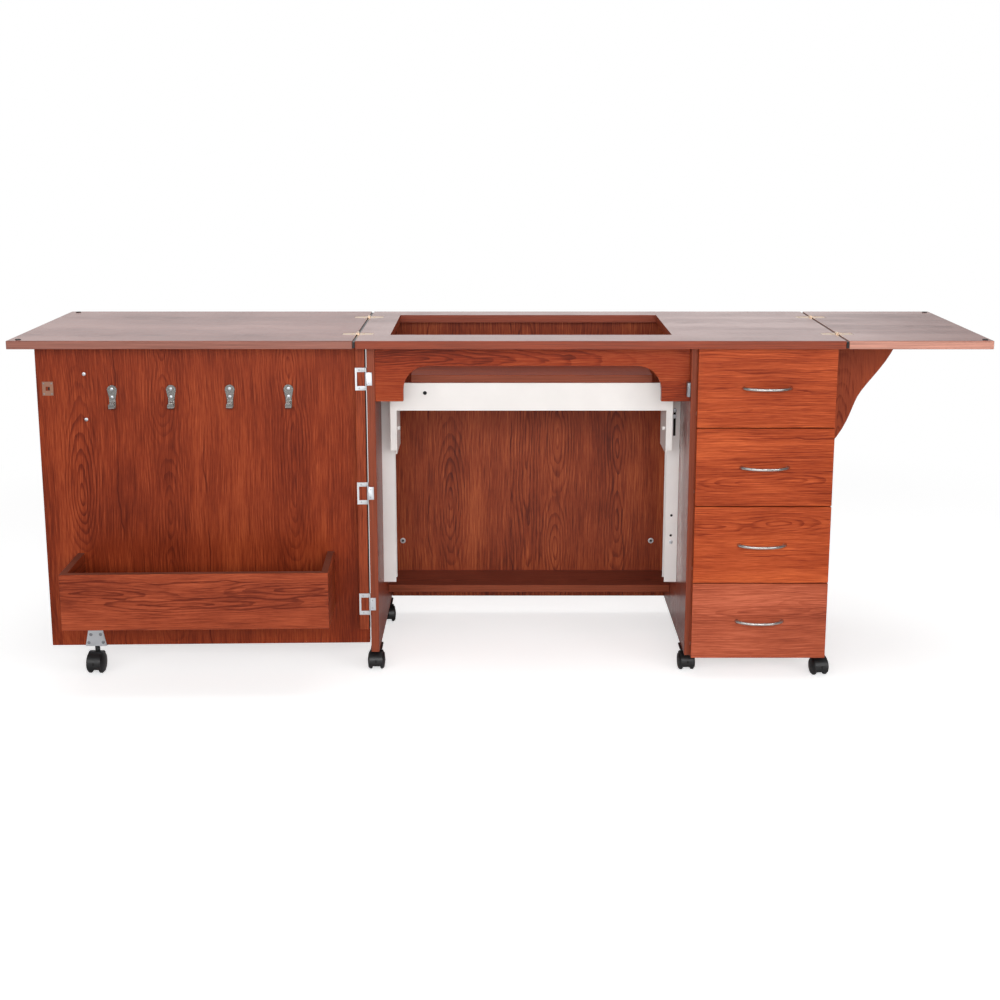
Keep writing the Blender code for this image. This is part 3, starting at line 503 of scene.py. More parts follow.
@dataclass(frozen=True)
class Plated(Finish):
    """Plated or polished metal with faint brushing and cloudy patches."""

    name: str
    slot: Slot
    colour: Colour
    roughness: float
    brushing: float = 0.10
    depth: float = 0.00003

    def paint(self, graph: Graph) -> None:
        """Lays the finish down in a graph.

        Args:
            graph: The material's graph.
        """
        place = graph.coordinates("Object")
        cloud = graph.noise(graph.scaled(place, 34.0, 34.0, 34.0), 3.0)
        brushed = graph.noise(graph.scaled(place, 300.0, 300.0, 2600.0), 2.0)
        colour = graph.mix(cloud.eased(0.3, 0.75), tuple(0.93 * c for c in self.colour), self.colour)
        rough = self.roughness + (cloud - 0.5) * 0.06 + (brushed - 0.5) * self.brushing
        graph.surface(colour, rough, brushed, self.brushing * self.depth, Metallic=1.0)


@dataclass(frozen=True)
class Coated(Finish):
    """Paint, moulded plastic or lining board: one colour with a fine skin and soft unevenness."""

    name: str
    slot: Slot
    colour: Colour
    roughness: float
    skin: float = 900.0
    depth: float = 0.00005
    shade: float = 0.90

    def paint(self, graph: Graph) -> None:
        """Lays the finish down in a graph.

        Args:
            graph: The material's graph.
        """
        place = graph.coordinates("Object")
        cloud = graph.noise(graph.scaled(place, 14.0, 14.0, 14.0), 3.0)
        skin = graph.noise(graph.scaled(place, self.skin, self.skin, self.skin), 2.0)
        colour = graph.mix(cloud.eased(0.25, 0.75), tuple(self.shade * c for c in self.colour), self.colour)
        rough = self.roughness + (cloud - 0.5) * 0.08 + (skin - 0.5) * 0.06
        graph.surface(colour, rough, skin, self.depth)


EDGE_X = (1.0, 0.0, 0.0)
EDGE_Y = (0.0, 1.0, 0.0)
EDGE_Z = (0.0, 0.0, 1.0)
ZINC = Plated("zinc_plate", Slot.ZINC, (0.72, 0.745, 0.78), 0.44)
NICKEL = Plated("satin_nickel", Slot.NICKEL, (0.58, 0.56, 0.535), 0.25, 0.01)
# A lighter copy of the zinc plate: painted light on the door's hinge leaves and the back panel's bolts.
ZINC_LIT = Plated("zinc_painted_light", Slot.ZINC, (0.82, 0.84, 0.865), 0.50)
STEEL = Plated("bare_steel", Slot.ZINC, (0.35, 0.36, 0.38), 0.46)
BRASS = Plated("pale_brass", Slot.BRASS, (0.66, 0.50, 0.37), 0.34)
STRIKE = Plated("strike_copper", Slot.ZINC, (0.42, 0.225, 0.155), 0.45)
# A lighter copy of the white steel for the rails: painted light for light that the kneehole lacks.
RAIL_WHITE_LIT = Coated("rail_white_painted_light", Slot.WHITE, (0.93, 0.905, 0.885), 0.38, 700.0, 0.00004, 0.96)
WHITE = Coated("white_steel", Slot.WHITE, (0.86, 0.828, 0.80), 0.38, 700.0, 0.00004, 0.96)
BLACK = Coated("black_nylon", Slot.BLACK, (0.0095, 0.0095, 0.0105), 0.38, 1500.0, 0.00006, 0.8)
PAD = Coated("black_rubber_pad", Slot.BLACK, (0.022, 0.021, 0.021), 0.62, 2000.0, 0.00008, 0.8)
# Near-black finish for the discs and slivers that stand for painted shade inside holes, slits and sockets.
HOLE_SHADE = Coated("painted_hole_shade", Slot.BLACK, (0.006, 0.005, 0.005), 0.8)
LINING = Coated("drawer_lining", Slot.LINING, (0.62, 0.57, 0.51), 0.62, 500.0, 0.00004, 0.88)


def add_object(name: str, data: Any) -> bpy.types.Object:
    """Adds an object to the scene.

    Args:
        name: Its name.
        data: Its mesh, light or camera.

    Returns:
        The object.
    """
    obj = bpy.data.objects.new(name, data)
    bpy.context.scene.collection.objects.link(obj)
    return obj


class Shape:
    """Meshes for the small hardware."""

    WELD = 1e-6
    SHARP = math.radians(32)

    @staticmethod
    def lathe(profile: Sequence[Pair], steps: int = 28) -> Mesh:
        """Turns a profile about Z.

        Args:
            profile: Radius and height of each point, from one end on the axis to the other.
            steps: Number of sides.

        Returns:
            The turned mesh.
        """
        work = bmesh.new()
        points = [work.verts.new((radius, 0.0, height)) for radius, height in profile]
        edges = [work.edges.new(pair) for pair in zip(points, points[1:])]
        turn = {"cent": (0, 0, 0), "axis": (0, 0, 1), "angle": 2 * math.pi, "use_merge": True}
        bmesh.ops.spin(work, geom=points + edges, steps=steps, **turn)
        bmesh.ops.remove_doubles(work, verts=work.verts, dist=Shape.WELD)
        return Shape.closed(work)

    @staticmethod
    def disc(radius: float, low: float, rim: float, top: float, steps: int) -> Mesh:
        """A round disc about Z, with a level foot and a rim that may lie below its top's middle."""
        return Shape.lathe([(0, low), (radius, low), (radius, rim), (0, top)], steps)

    @staticmethod
    def plate(outline: Sequence[Pair], thickness: float, ease: float = 0.0003) -> Mesh:
        """A flat plate from Z = 0 up, with its upper rim eased.

        Args:
            outline: Corners in X and Y.
            thickness: Thickness of the plate.
            ease: How much the rim is taken back.

        Returns:
            The plate's mesh.
        """
        work = bmesh.new()
        middle = Vector((sum(p[0] for p in outline), sum(p[1] for p in outline))) / len(outline)
        rings = []
        for height, inset in ((0.0, 0.0), (thickness - ease, 0.0), (thickness, ease)):
            ring = []
            for corner in outline:
                arm = Vector(corner) - middle
                shrunk = middle + arm * (1.0 - inset / max(arm.length, Shape.WELD))
                ring.append(work.verts.new((*shrunk, height)))
            rings.append(ring)
        return Shape.skinned(work, rings)

    @staticmethod
    def tube(path: Sequence[Vector], radii: Sequence[Pair], sides: int = 18) -> Mesh:
        """A bar along a path in the XY plane.

        Args:
            path: Points of its centre line.
            radii: Half width in the plane and half height out of it, at each point.
            sides: Number of sides.

        Returns:
            The bar's mesh with closed ends.
        """
        work = bmesh.new()
        rings = []
        angles = [2 * math.pi * s / sides for s in range(sides)]
        for n, (point, (wide, high)) in enumerate(zip(path, radii)):
            ahead = path[min(n + 1, len(path) - 1)] - path[max(n - 1, 0)]
            side = Vector((-ahead.y, ahead.x, 0.0)).normalized()
            offsets = [side * (wide * math.cos(a)) + Vector((0, 0, high * math.sin(a))) for a in angles]
            rings.append([work.verts.new(point + offset) for offset in offsets])
        return Shape.skinned(work, rings)

    @staticmethod
    def ribbon(path: Sequence[Pair], halves: Sequence[float], sheet: float) -> Mesh:
        """A bent strip of sheet that lies across X.

        Args:
            path: Y and Z of its middle line.
            halves: Half its width at each point.
            sheet: Its thickness.

        Returns:
            The strip's mesh, with eased rims.
        """
        work = bmesh.new()
        rings = []
        t, ease = sheet / 2, sheet * 0.3
        for n, ((y, z), half) in enumerate(zip(path, halves)):
            ahead = Vector(path[min(n + 1, len(path) - 1)]) - Vector(path[max(n - 1, 0)])
            out = Vector((-ahead.y, ahead.x)).normalized()
            rim = [(half - ease, t), (half, t - ease), (half, ease - t), (half - ease, -t)]
            rim += [(-x, h) for x, h in reversed(rim)]
            rings.append([work.verts.new((x, y + out.x * h, z + out.y * h)) for x, h in rim])
        return Shape.skinned(work, rings)

    @staticmethod
    def skinned(work: bmesh.types.BMesh, rings: Sequence[Sequence[bmesh.types.BMVert]]) -> Mesh:
        """Joins rings of equal size into one closed skin.

        Args:
            work: The mesh under way.
            rings: Its rings, from one end to the other.

        Returns:
            The closed mesh.
        """
        for first, second in zip(rings, rings[1:]):
            for s in range(len(first)):
                t = (s + 1) % len(first)
                work.faces.new((first[s], first[t], second[t], second[s]))
        work.faces.new(rings[0])
        work.faces.new(rings[-1])
        return Shape.closed(work)

    @staticmethod
    def carved(body: Mesh, cutters: Sequence[Mesh]) -> Mesh:
        """Cuts meshes out of another.

        Args:
            body: The mesh to cut.
            cutters: What is taken away.

        Returns:
            What is left.
        """
        base = add_object("carving", body)
        helpers = [add_object("carving_cutter", cutter) for cutter in cutters]
        for helper in helpers:
            cut = base.modifiers.new("cut", "BOOLEAN")
            cut.operation = "DIFFERENCE"
            cut.solver = "EXACT"
            cut.object = helper
        bpy.context.view_layer.update()
        graph = bpy.context.evaluated_depsgraph_get()
        result = bpy.data.meshes.new_from_object(base.evaluated_get(graph))
        for obj in (base, *helpers):
            bpy.data.objects.remove(obj)
        return Shape.shaded(result)

    @staticmethod
    def block(size: Sequence[float], middle: Sequence[float]) -> Mesh:
        """A box to cut with.

        Args:
            size: Its three sides.
            middle: Its middle.

        Returns:
            The box's mesh.
        """
        work = bmesh.new()
        where = Matrix.Translation(Vector(middle)) @ Matrix.Diagonal((*size, 1.0))
        bmesh.ops.create_cube(work, size=1.0, matrix=where)
        return Shape.closed(work)

    @staticmethod
    def merged(parts: Sequence[Placed]) -> Mesh:
        """Puts several meshes together.

        Args:
            parts: The meshes with their places.

        Returns:
            All of them as one mesh.
        """
        work = bmesh.new()
        for mesh, where in parts:
            moved = mesh.copy()
            moved.transform(where)
            work.from_mesh(moved)
            bpy.data.meshes.remove(moved)
        return Shape.closed(work)

    @staticmethod
    def closed(work: bmesh.types.BMesh) -> Mesh:
        """Ends the work on a mesh.

        Args:
            work: The mesh under way.

        Returns:
            The mesh, with its faces turned outwards.
        """
        bmesh.ops.recalc_face_normals(work, faces=work.faces)
        mesh = bpy.data.meshes.new("shape")
        work.to_mesh(mesh)
        work.free()
        return Shape.shaded(mesh)

    @staticmethod
    def shaded(mesh: Mesh) -> Mesh:
        """Shades the round stretches of a mesh smooth.

        Args:
            mesh: The mesh.

        Returns:
            The same mesh.
        """
        mesh.shade_smooth()
        mesh.set_sharp_from_angle(angle=Shape.SHARP)
        return mesh

    @staticmethod
    def arc(middle: Pair, radius: float, start: float, end: float, steps: int) -> list[Pair]:
        """Points along a round stretch, with its angles in degrees."""
        angles = [math.radians(start + (end - start) * n / steps) for n in range(steps + 1)]
        return [(middle[0] + radius * math.cos(a), middle[1] + radius * math.sin(a)) for a in angles]

    @staticmethod
    def rounded(low: Pair, high: Pair, radius: float) -> list[Pair]:
        """The outline of a rectangle with round corners.

        Args:
            low: Its lower left corner.
            high: Its upper right corner.
            radius: Radius of the corners.

        Returns:
            The outline's points.
        """
        left, bottom = low[0] + radius, low[1] + radius
        right, top = high[0] - radius, high[1] - radius
        outline = []
        for n, corner in enumerate(((right, top), (left, top), (left, bottom), (right, bottom))):
            outline += Shape.arc(corner, radius, 90 * n, 90 * n + 90, 4)
        return outline

    @staticmethod
    def gap_shade_strip(low: Pair, high: Pair, length: float, corner: float = 0.0008, ease: float = 0.0002) -> Mesh:
        """A dark strip with round corners, which runs from Z = 0 up; it is painted shade in a gap."""
        return Shape.plate(Shape.rounded(low, high, corner), length, ease)

    @staticmethod
    def screw(radius: float, height: float) -> Mesh:
        """A pan-head screw with a cross recess, seated on Z = 0.

        Args:
            radius: Radius of its head.
            height: Height of its head.

        Returns:
            The screw's mesh.
        """
        profile = [(0.0, -0.0004), (radius, -0.0004), (radius, height * 0.35)]
        profile += [(radius * 0.88, height * 0.72), (radius * 0.55, height * 0.95), (0.0, height)]
        long, wide, deep = radius * 1.15, radius * 0.26, height * 1.2
        cutters = [Shape.block(size, (0, 0, height)) for size in ((long, wide, deep), (wide, long, deep))]
        return Shape.carved(Shape.lathe(profile, steps=20), cutters)


def add_piece(
    name: str,
    mesh: Mesh,
    finish: Finish,
    body: str,
    where: Optional[Matrix] = None,
    replaces: Sequence[str] = (),
) -> bpy.types.Object:
    """Adds one piece of the cabinet.

    Args:
        name: The piece's name.
        mesh: Its mesh.
        finish: Its finish.
        body: The moving body that it rides on.
        where: Its place.
        replaces: Solids that it stands for.

    Returns:
        The piece.
    """
    piece = add_object(name, mesh)
    piece.matrix_world = where or Matrix.Identity(4)
    mesh.materials.clear()
    mesh.materials.append(finish.material())
    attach(piece, body)
    if replaces:
        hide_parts(*replaces)
    LOG.info("piece %s on %s", name, body)
    return piece


def middle_of(node: str) -> Vector:
    """The middle of a solid's box."""
    low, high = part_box(node)
    return (low + high) / 2


def at(x: float, y: float, z: float) -> Matrix:
    """A place without any turn."""
    return Matrix.Translation((x, y, z))


def turn(axis: str, angle: float) -> Matrix:
    """A turn about an axis, in degrees."""
    return Matrix.Rotation(math.radians(angle), 4, axis)


@dataclass
class Assembly:
    """A sub-assembly of the cabinet in its loaded frame."""

    frame: Frame

    def dress(self) -> None:
        """Gives the solids their finishes."""
        raise NotImplementedError("each sub-assembly dresses its own solids")

    def build(self) -> None:
        """Builds the pieces that the solids lack."""
        raise NotImplementedError("each sub-assembly builds its own pieces")

    def joint(self, name: str) -> Mapping[str, Any]:
        """The joint with a name."""
        return next(joint for joint in self.frame["joints"] if joint["name"] == name)

    def dress_node(self, node: str, finish: Finish) -> None:
        """Gives a solid its finish.

        Args:
            node: The solid.
            finish: The finish.
        """
        solid = self.frame["nodes"][node]
        if not solid.material_slots:
            solid.data.materials.append(finish.material())
        for slot in solid.material_slots:
            slot.material = finish.material()
        LOG.info("finish %s on %s", finish.name, node)

    def soften_node(self, node: str, finish: Finish, body: str, ease: float) -> None:
        """Stands a copy with rounded edges in place of a solid.

        Args:
            node: The solid.
            finish: The copy's finish.
            body: The body that it rides on.
            ease: How far the edges are rounded.
        """
        work = bmesh.new()
        work.from_mesh(self.frame["nodes"][node].data)
        bmesh.ops.remove_doubles(work, verts=work.verts, dist=Shape.WELD)
        bmesh.ops.dissolve_limit(work, angle_limit=math.radians(0.5), verts=work.verts, edges=work.edges)
        piece = add_piece(f"{node}_look", Shape.closed(work), finish, body, replaces=(node,))
        bevel = piece.modifiers.new("rounded_edges", "BEVEL")
        bevel.width = ease
        bevel.segments = 2
        bevel.limit_method = "ANGLE"
        bevel.angle_limit = math.radians(40)
        bevel.harden_normals = True


@dataclass
class Tops(Assembly):
    """Main top, both leaves, their flush hinges, strips of painted shade in the folds and the rubber pads."""

    hinge_length: float = 0.034
    hinge_neck: float = 0.040
    hinge_tail: float = 0.026
    hinge_start: float = 0.0034
    hinge_corner: float = 0.003
    hinge_sink: float = 0.0002
    hinge_screw: Pair = (0.0026, 0.0007)
    screw_places: tuple[Pair, ...] = ((0.012, 0.009), (0.012, -0.009), (0.027, 0.0))
    screw_sink: float = 0.0003
    plate: float = 0.0016
    pad_radius: float = 0.0062
    pad_height: float = 0.0018
    pad_inset: Pair = (0.021, 0.014)
    pad_front: float = 0.018
    # Across, depth and end inset of the near-black strips of painted shade in the folds.
    gap_shade_across: Pair = (-0.0022, 0.0032)
    gap_shade_down: Pair = (0.0038, 0.0170)
    gap_shade_inset: float = 0.0015

    def dress(self) -> None:
        """Dresses the three boards and the hinge halves in the main top."""
        tones = Tones((0.115, 0.0142, 0.0055), (0.234, 0.0365, 0.0140), (0.352, 0.076, 0.0300))
        edges = (EDGE_X, EDGE_Y)
        look = {"tones": tones, "figure": 0.5, "roughness": 0.38, "gloss": 0.4, "band_along": edges}
        main_hearts = (Heart(0.86, 0.62, 0.10), Heart(1.02, 0.35, 0.06))
        left_hearts = (Heart(0.66, -0.70, 0.08), Heart(0.95, -0.45, 0.06))
        # The leaves' edge bands are lighter copies of the main top's edge tape: painted light, strongest on
        # the right leaf.
        boards = (
            ("main_top", 3.1, 0.72, (0.290, 0.046, 0.013), main_hearts),
            ("left_leaf", 14.2, 0.48, (0.325, 0.120, 0.085), left_hearts),
            ("right_leaf", 27.7, 0.70, (0.620, 0.285, 0.210), (Heart(0.80, 0.80, 0.09),)),
        )
        for board, seed, sheen, band, hearts in boards:
            finish = Teak(f"{board}_teak", Grain.LEVEL, seed, hearts, sheen=sheen, band=band, **look)
            self.dress_node(board, finish)
        for side, _ in SIDES:
            for which in ("front", "rear"):
                self.soften_node(f"top_hinge_{side}_{which}", BRASS, "cabinet", ease=0.0003)

    def build(self) -> None:
        """Builds the leaf-side hinge plates, the hinge screws, the pads and the strips of painted shade in
        the folds.
        """
        screw = Shape.screw(*self.hinge_screw)
        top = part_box("main_top")[1].z
        for side, towards in SIDES:
            fold = Vector(self.joint(f"{side}_leaf_fold")["pos_m"])
            for which in ("front", "rear"):
                y = middle_of(f"top_hinge_{side}_{which}").y
                self._leaf_plate(f"{side}_leaf", which, Vector((fold.x, y, top)), towards)
                parts = [
                    (screw, at(fold.x - towards * out, y + off, top - self.screw_sink))
                    for out, off in self.screw_places
                ]
                add_piece(f"top_hinge_{side}_{which}_screws", Shape.merged(parts), BRASS, "cabinet")
            self._pads(f"{side}_leaf", towards)
            self._gap_shade(f"{side}_leaf", fold, towards)

    def _gap_shade(self, leaf: str, fold: Vector, towards: float) -> None:
        """Builds a near-black strip of painted shade on a leaf's edge, in the gap beside the main top.

        Args:
            leaf: The leaf.
            fold: A point on the line about which the leaf folds.
            towards: Sign of X from the fold to the leaf.
        """
        low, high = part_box(leaf)
        near, far = sorted(towards * x for x in self.gap_shade_across)
        length = high.y - low.y - 2 * self.gap_shade_inset
        # Near-black strip that stands for the shade in the fold's gap.
        strip = Shape.gap_shade_strip((near, self.gap_shade_down[0]), (far, self.gap_shade_down[1]), length)
        where = at(fold.x, low.y + self.gap_shade_inset, fold.z) @ turn("X", -90)
        add_piece(f"{leaf}_fold_gap_shade", strip, BLACK, f"{leaf}_body", where)

    def _leaf_plate(self, leaf: str, which: str, seat: Vector, towards: float) -> None:
        """Builds the hinge half that is let into a leaf, with its screws.

        Args:
            leaf: The leaf.
            which: Which of its hinges.
            seat: The hinge's middle, at the top's height.
            towards: Sign of X from the fold to the leaf.
        """
        neck, tail, corner = self.hinge_neck / 2, self.hinge_tail / 2, self.hinge_corner
        end = self.hinge_length - corner
        outline = [(self.hinge_start, -neck), (end, -tail)]
        outline += Shape.arc((end, -tail + corner), corner, -90, 0, 3)
        outline += Shape.arc((end, tail - corner), corner, 0, 90, 3) + [(self.hinge_start, neck)]
        parts = [(Shape.plate(outline, self.plate), at(0, 0, -self.hinge_sink - self.plate))]
        screw = Shape.screw(*self.hinge_screw)
        parts += [(screw, at(x, y, -self.screw_sink)) for x, y in self.screw_places]
        where = at(*seat) @ turn("Z", 0 if towards > 0 else 180)
        add_piece(f"{leaf}_{which}_hinge_plate", Shape.merged(parts), BRASS, f"{leaf}_body", where)

    def _pads(self, leaf: str, towards: float) -> None:
        """Builds the two rubber pads near a leaf's free end.

        Args:
            leaf: The leaf.
            towards: Sign of X from the fold to the leaf.
        """
        low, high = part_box(leaf)
        x = high.x - self.pad_inset[1] if towards > 0 else low.x + self.pad_inset[0]
        r, h = self.pad_radius, self.pad_height
        crown = [(r, h * 0.5), (r * 0.85, h * 0.9), (r * 0.4, h), (0, h)]
        pad = Shape.lathe([(0, -0.0002), (r, -0.0002), *crown])
        parts = [(pad, at(x, y, high.z)) for y in (low.y + self.pad_front, high.y - self.pad_front)]
        add_piece(f"{leaf}_pads", Shape.merged(parts), PAD, f"{leaf}_body")


@dataclass
class Carcass(Assembly):
    """Panels, shelf, apron, the wing under the right leaf and the back panel's bolts."""

    bolt_radius: float = 0.0070
    bolt_key: float = 0.0024
    bolt_places: tuple[Pair, ...] = ((-0.2441, 0.1934), (0.3792, 0.1934))

    def dress(self) -> None:
        """Dresses the boards of the carcass."""
        sides = (
            ("left_side_panel", 31.0, 0.20, (Heart(-0.18, 0.30), Heart(0.02, 0.60, 0.10))),
            ("divider_panel", 37.0, 0.98, (Heart(0.36, 0.45), Heart(0.56, 0.20, 0.10))),
            ("right_side_panel", 43.0, 0.40, (Heart(0.70, 0.40), Heart(0.92, 0.55, 0.12))),
        )
        front = {"band_along": (EDGE_Y,)}
        for board, seed, sheen, hearts in sides:
            finish = Teak(f"{board}_teak", Grain.UPRIGHT, seed, hearts, gloss=0.3, sheen=sheen, **front)
            self.dress_node(board, finish)
        back_tones = Tones((0.105, 0.021, 0.013), (0.285, 0.052, 0.021), (0.500, 0.122, 0.044))
        back_hearts = (
            Heart(0.144, 0.300, 0.20, 1.0, 0.6),
            Heart(0.330, 0.470, 0.12, 0.5, 0.7),
            Heart(0.409, 0.455, 0.20, 1.0, 0.8),
            Heart(0.400, 0.175, 0.22, 1.0, 0.8),
            Heart(0.558, 0.430, 0.22, 1.0, 0.8),
            Heart(0.560, 0.250, 0.20, 1.0, 0.7),
            Heart(0.80, 0.35, 0.1),
        )
        back_veins = (0.088, 0.292, 0.575)
        shelf = {
            "tones": Tones((0.13, 0.028, 0.015), (0.250, 0.058, 0.032), (0.37, 0.10, 0.058)),
            "band": (0.27, 0.062, 0.028),
        }
        floor_hearts = (Heart(0.30, 0.05, 0.08),)
        apron = {"figure": 0.5, "ring_pitch": 0.0052, "tones": Tones(body=(0.280, 0.035, 0.008))}
        apron_hearts = (Heart(0.53, 0.36, 0.10), Heart(0.58, -0.22, 0.08))
        wing = {"figure": 0.45, "tones": Tones((0.16, 0.020, 0.006), (0.360, 0.066, 0.024))}
        wing_hearts = (Heart(0.83, 0.50, 0.20),)
        boards = {
            "back_panel": Teak("back_teak", Grain.UPRIGHT, 51.0, back_hearts, back_veins, back_tones),
            "base_shelf": Teak("shelf_teak", Grain.LEVEL, 57.0, floor_hearts, **front, **shelf),
            "drawer_bay_floor": Teak("bay_floor_teak", Grain.LEVEL, 61.0, floor_hearts, **front),
            "apron": Teak("apron_teak", Grain.LEVEL, 67.0, apron_hearts, **apron),
            "leaf_wing": Teak("wing_teak", Grain.UPRIGHT, 71.0, wing_hearts, **wing),
        }
        for board, finish in boards.items():
            self.dress_node(board, finish)

    def build(self) -> None:
        """Builds the two bolts in the back panel, with near-black painted shade in their sockets."""
        r = self.bolt_radius
        crown = [(r, 0.0010), (r * 0.94, 0.0016), (r * 0.6, 0.0018), (0, 0.0018)]
        head = Shape.lathe([(0, -0.0003), (r, -0.0003), *crown])
        bolt = Shape.carved(head, [Shape.disc(self.bolt_key, 0.0006, 0.004, 0.004, steps=6)])
        # Near-black cup of painted shade inside each bolt's hex socket.
        socket_shade_profile = [(0, 0.0007), (0.0036, 0.0016), (0.0036, 0.0020)]
        socket_shade_profile += [(0.0027, 0.0020), (0.0022, 0.0011), (0, 0.0011)]
        socket = Shape.lathe(socket_shade_profile, steps=24)
        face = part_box("back_panel")[0].y
        spots = [at(x, face, z) @ turn("X", 90) for x, z in self.bolt_places]
        for name, mesh, finish in (("bolts", bolt, ZINC_LIT), ("bolt_socket_shade", socket, HOLE_SHADE)):
            add_piece(f"back_panel_{name}", Shape.merged([(mesh, spot) for spot in spots]), finish, "cabinet")


@dataclass
class Pull:
    """A bow pull: half its spacing, its reach, and how thick it is at its middle, ends and feet."""

    half: float = 0.0505
    reach: float = 0.026
    post: float = 0.003
    wire: float = 0.0030
    neck: float = 0.0039
    foot: float = 0.0050
    flatness: float = 2.6
    steps: int = 44
    across: Pair = (0.90, 1.05)

    def mesh(self) -> Mesh:
        """Builds the bow along X, with its feet on Y = 0, bowing out towards -Y.

        Returns:
            The bow's mesh.
        """
        rise = self.reach - self.post - self.wire
        path = [Vector((-self.half, 0.0, 0.0))]
        radii = [(self.foot, self.foot)]
        for n in range(self.steps + 1):
            share = 2.0 * n / self.steps - 1.0
            out = self.post + rise * (1.0 - abs(share) ** self.flatness)
            path.append(Vector((share * self.half, -out, 0.0)))
            thick = self.wire + (self.neck - self.wire) * abs(share) ** 3
            radii.append((thick * self.across[0], thick * self.across[1]))
        path.append(Vector((self.half, 0.0, 0.0)))
        radii.append((self.foot, self.foot))
        return Shape.tube(path, radii)


@dataclass
class Drawers(Assembly):
    """The column of drawers with their pulls."""

    count: int = 4
    pull: Pull = field(default_factory=Pull)

    def dress(self) -> None:
        """Dresses the fronts and the trays."""
        tones = Tones((0.200, 0.024, 0.006), (0.400, 0.062, 0.0155), (0.620, 0.125, 0.034))
        # Drawer 4's paler, hazier tones are painted glare.
        glare_paled_tones = Tones((0.230, 0.040, 0.018), (0.410, 0.086, 0.038), (0.600, 0.150, 0.075))
        figures = (
            ((Heart(0.434, 0.500, 0.10), Heart(0.438, 0.700, 0.10)), (0.478, 0.520), tones),
            ((Heart(0.276, 0.560, 0.13), Heart(0.281, 0.640, 0.16)), (0.368, 0.300), tones),
            ((Heart(0.177, 0.460, 0.15), Heart(0.180, 0.616, 0.20)), (0.160, 0.110), tones),
            ((Heart(-0.023, 0.580, 0.12), Heart(-0.004, 0.720, 0.12)), (-0.030, 0.020), glare_paled_tones),
        )
        look = {"ring_pitch": 0.0060, "figure": 0.42, "reach": (0.010, 0.035)}
        edges = {"band_along": (EDGE_X, EDGE_Z), "band": (0.36, 0.060, 0.018)}
        for n, figure in enumerate(figures, start=1):
            front = Teak(f"drawer_{n}_teak", Grain.LEVEL, 80.0 + 7.3 * n, *figure, **look, **edges)
            self.dress_node(f"drawer_{n}_front", front)
            self.dress_node(f"drawer_{n}_tray", LINING)

    def build(self) -> None:
        """Builds the bow pulls."""
        for n in range(1, self.count + 1):
            node = f"drawer_{n}_pull"
            middle = middle_of(node)
            where = at(middle.x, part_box(node)[1].y, middle.z)
            add_piece(f"{node}_bow", self.pull.mesh(), NICKEL, f"drawer_{n}", where, (node,))


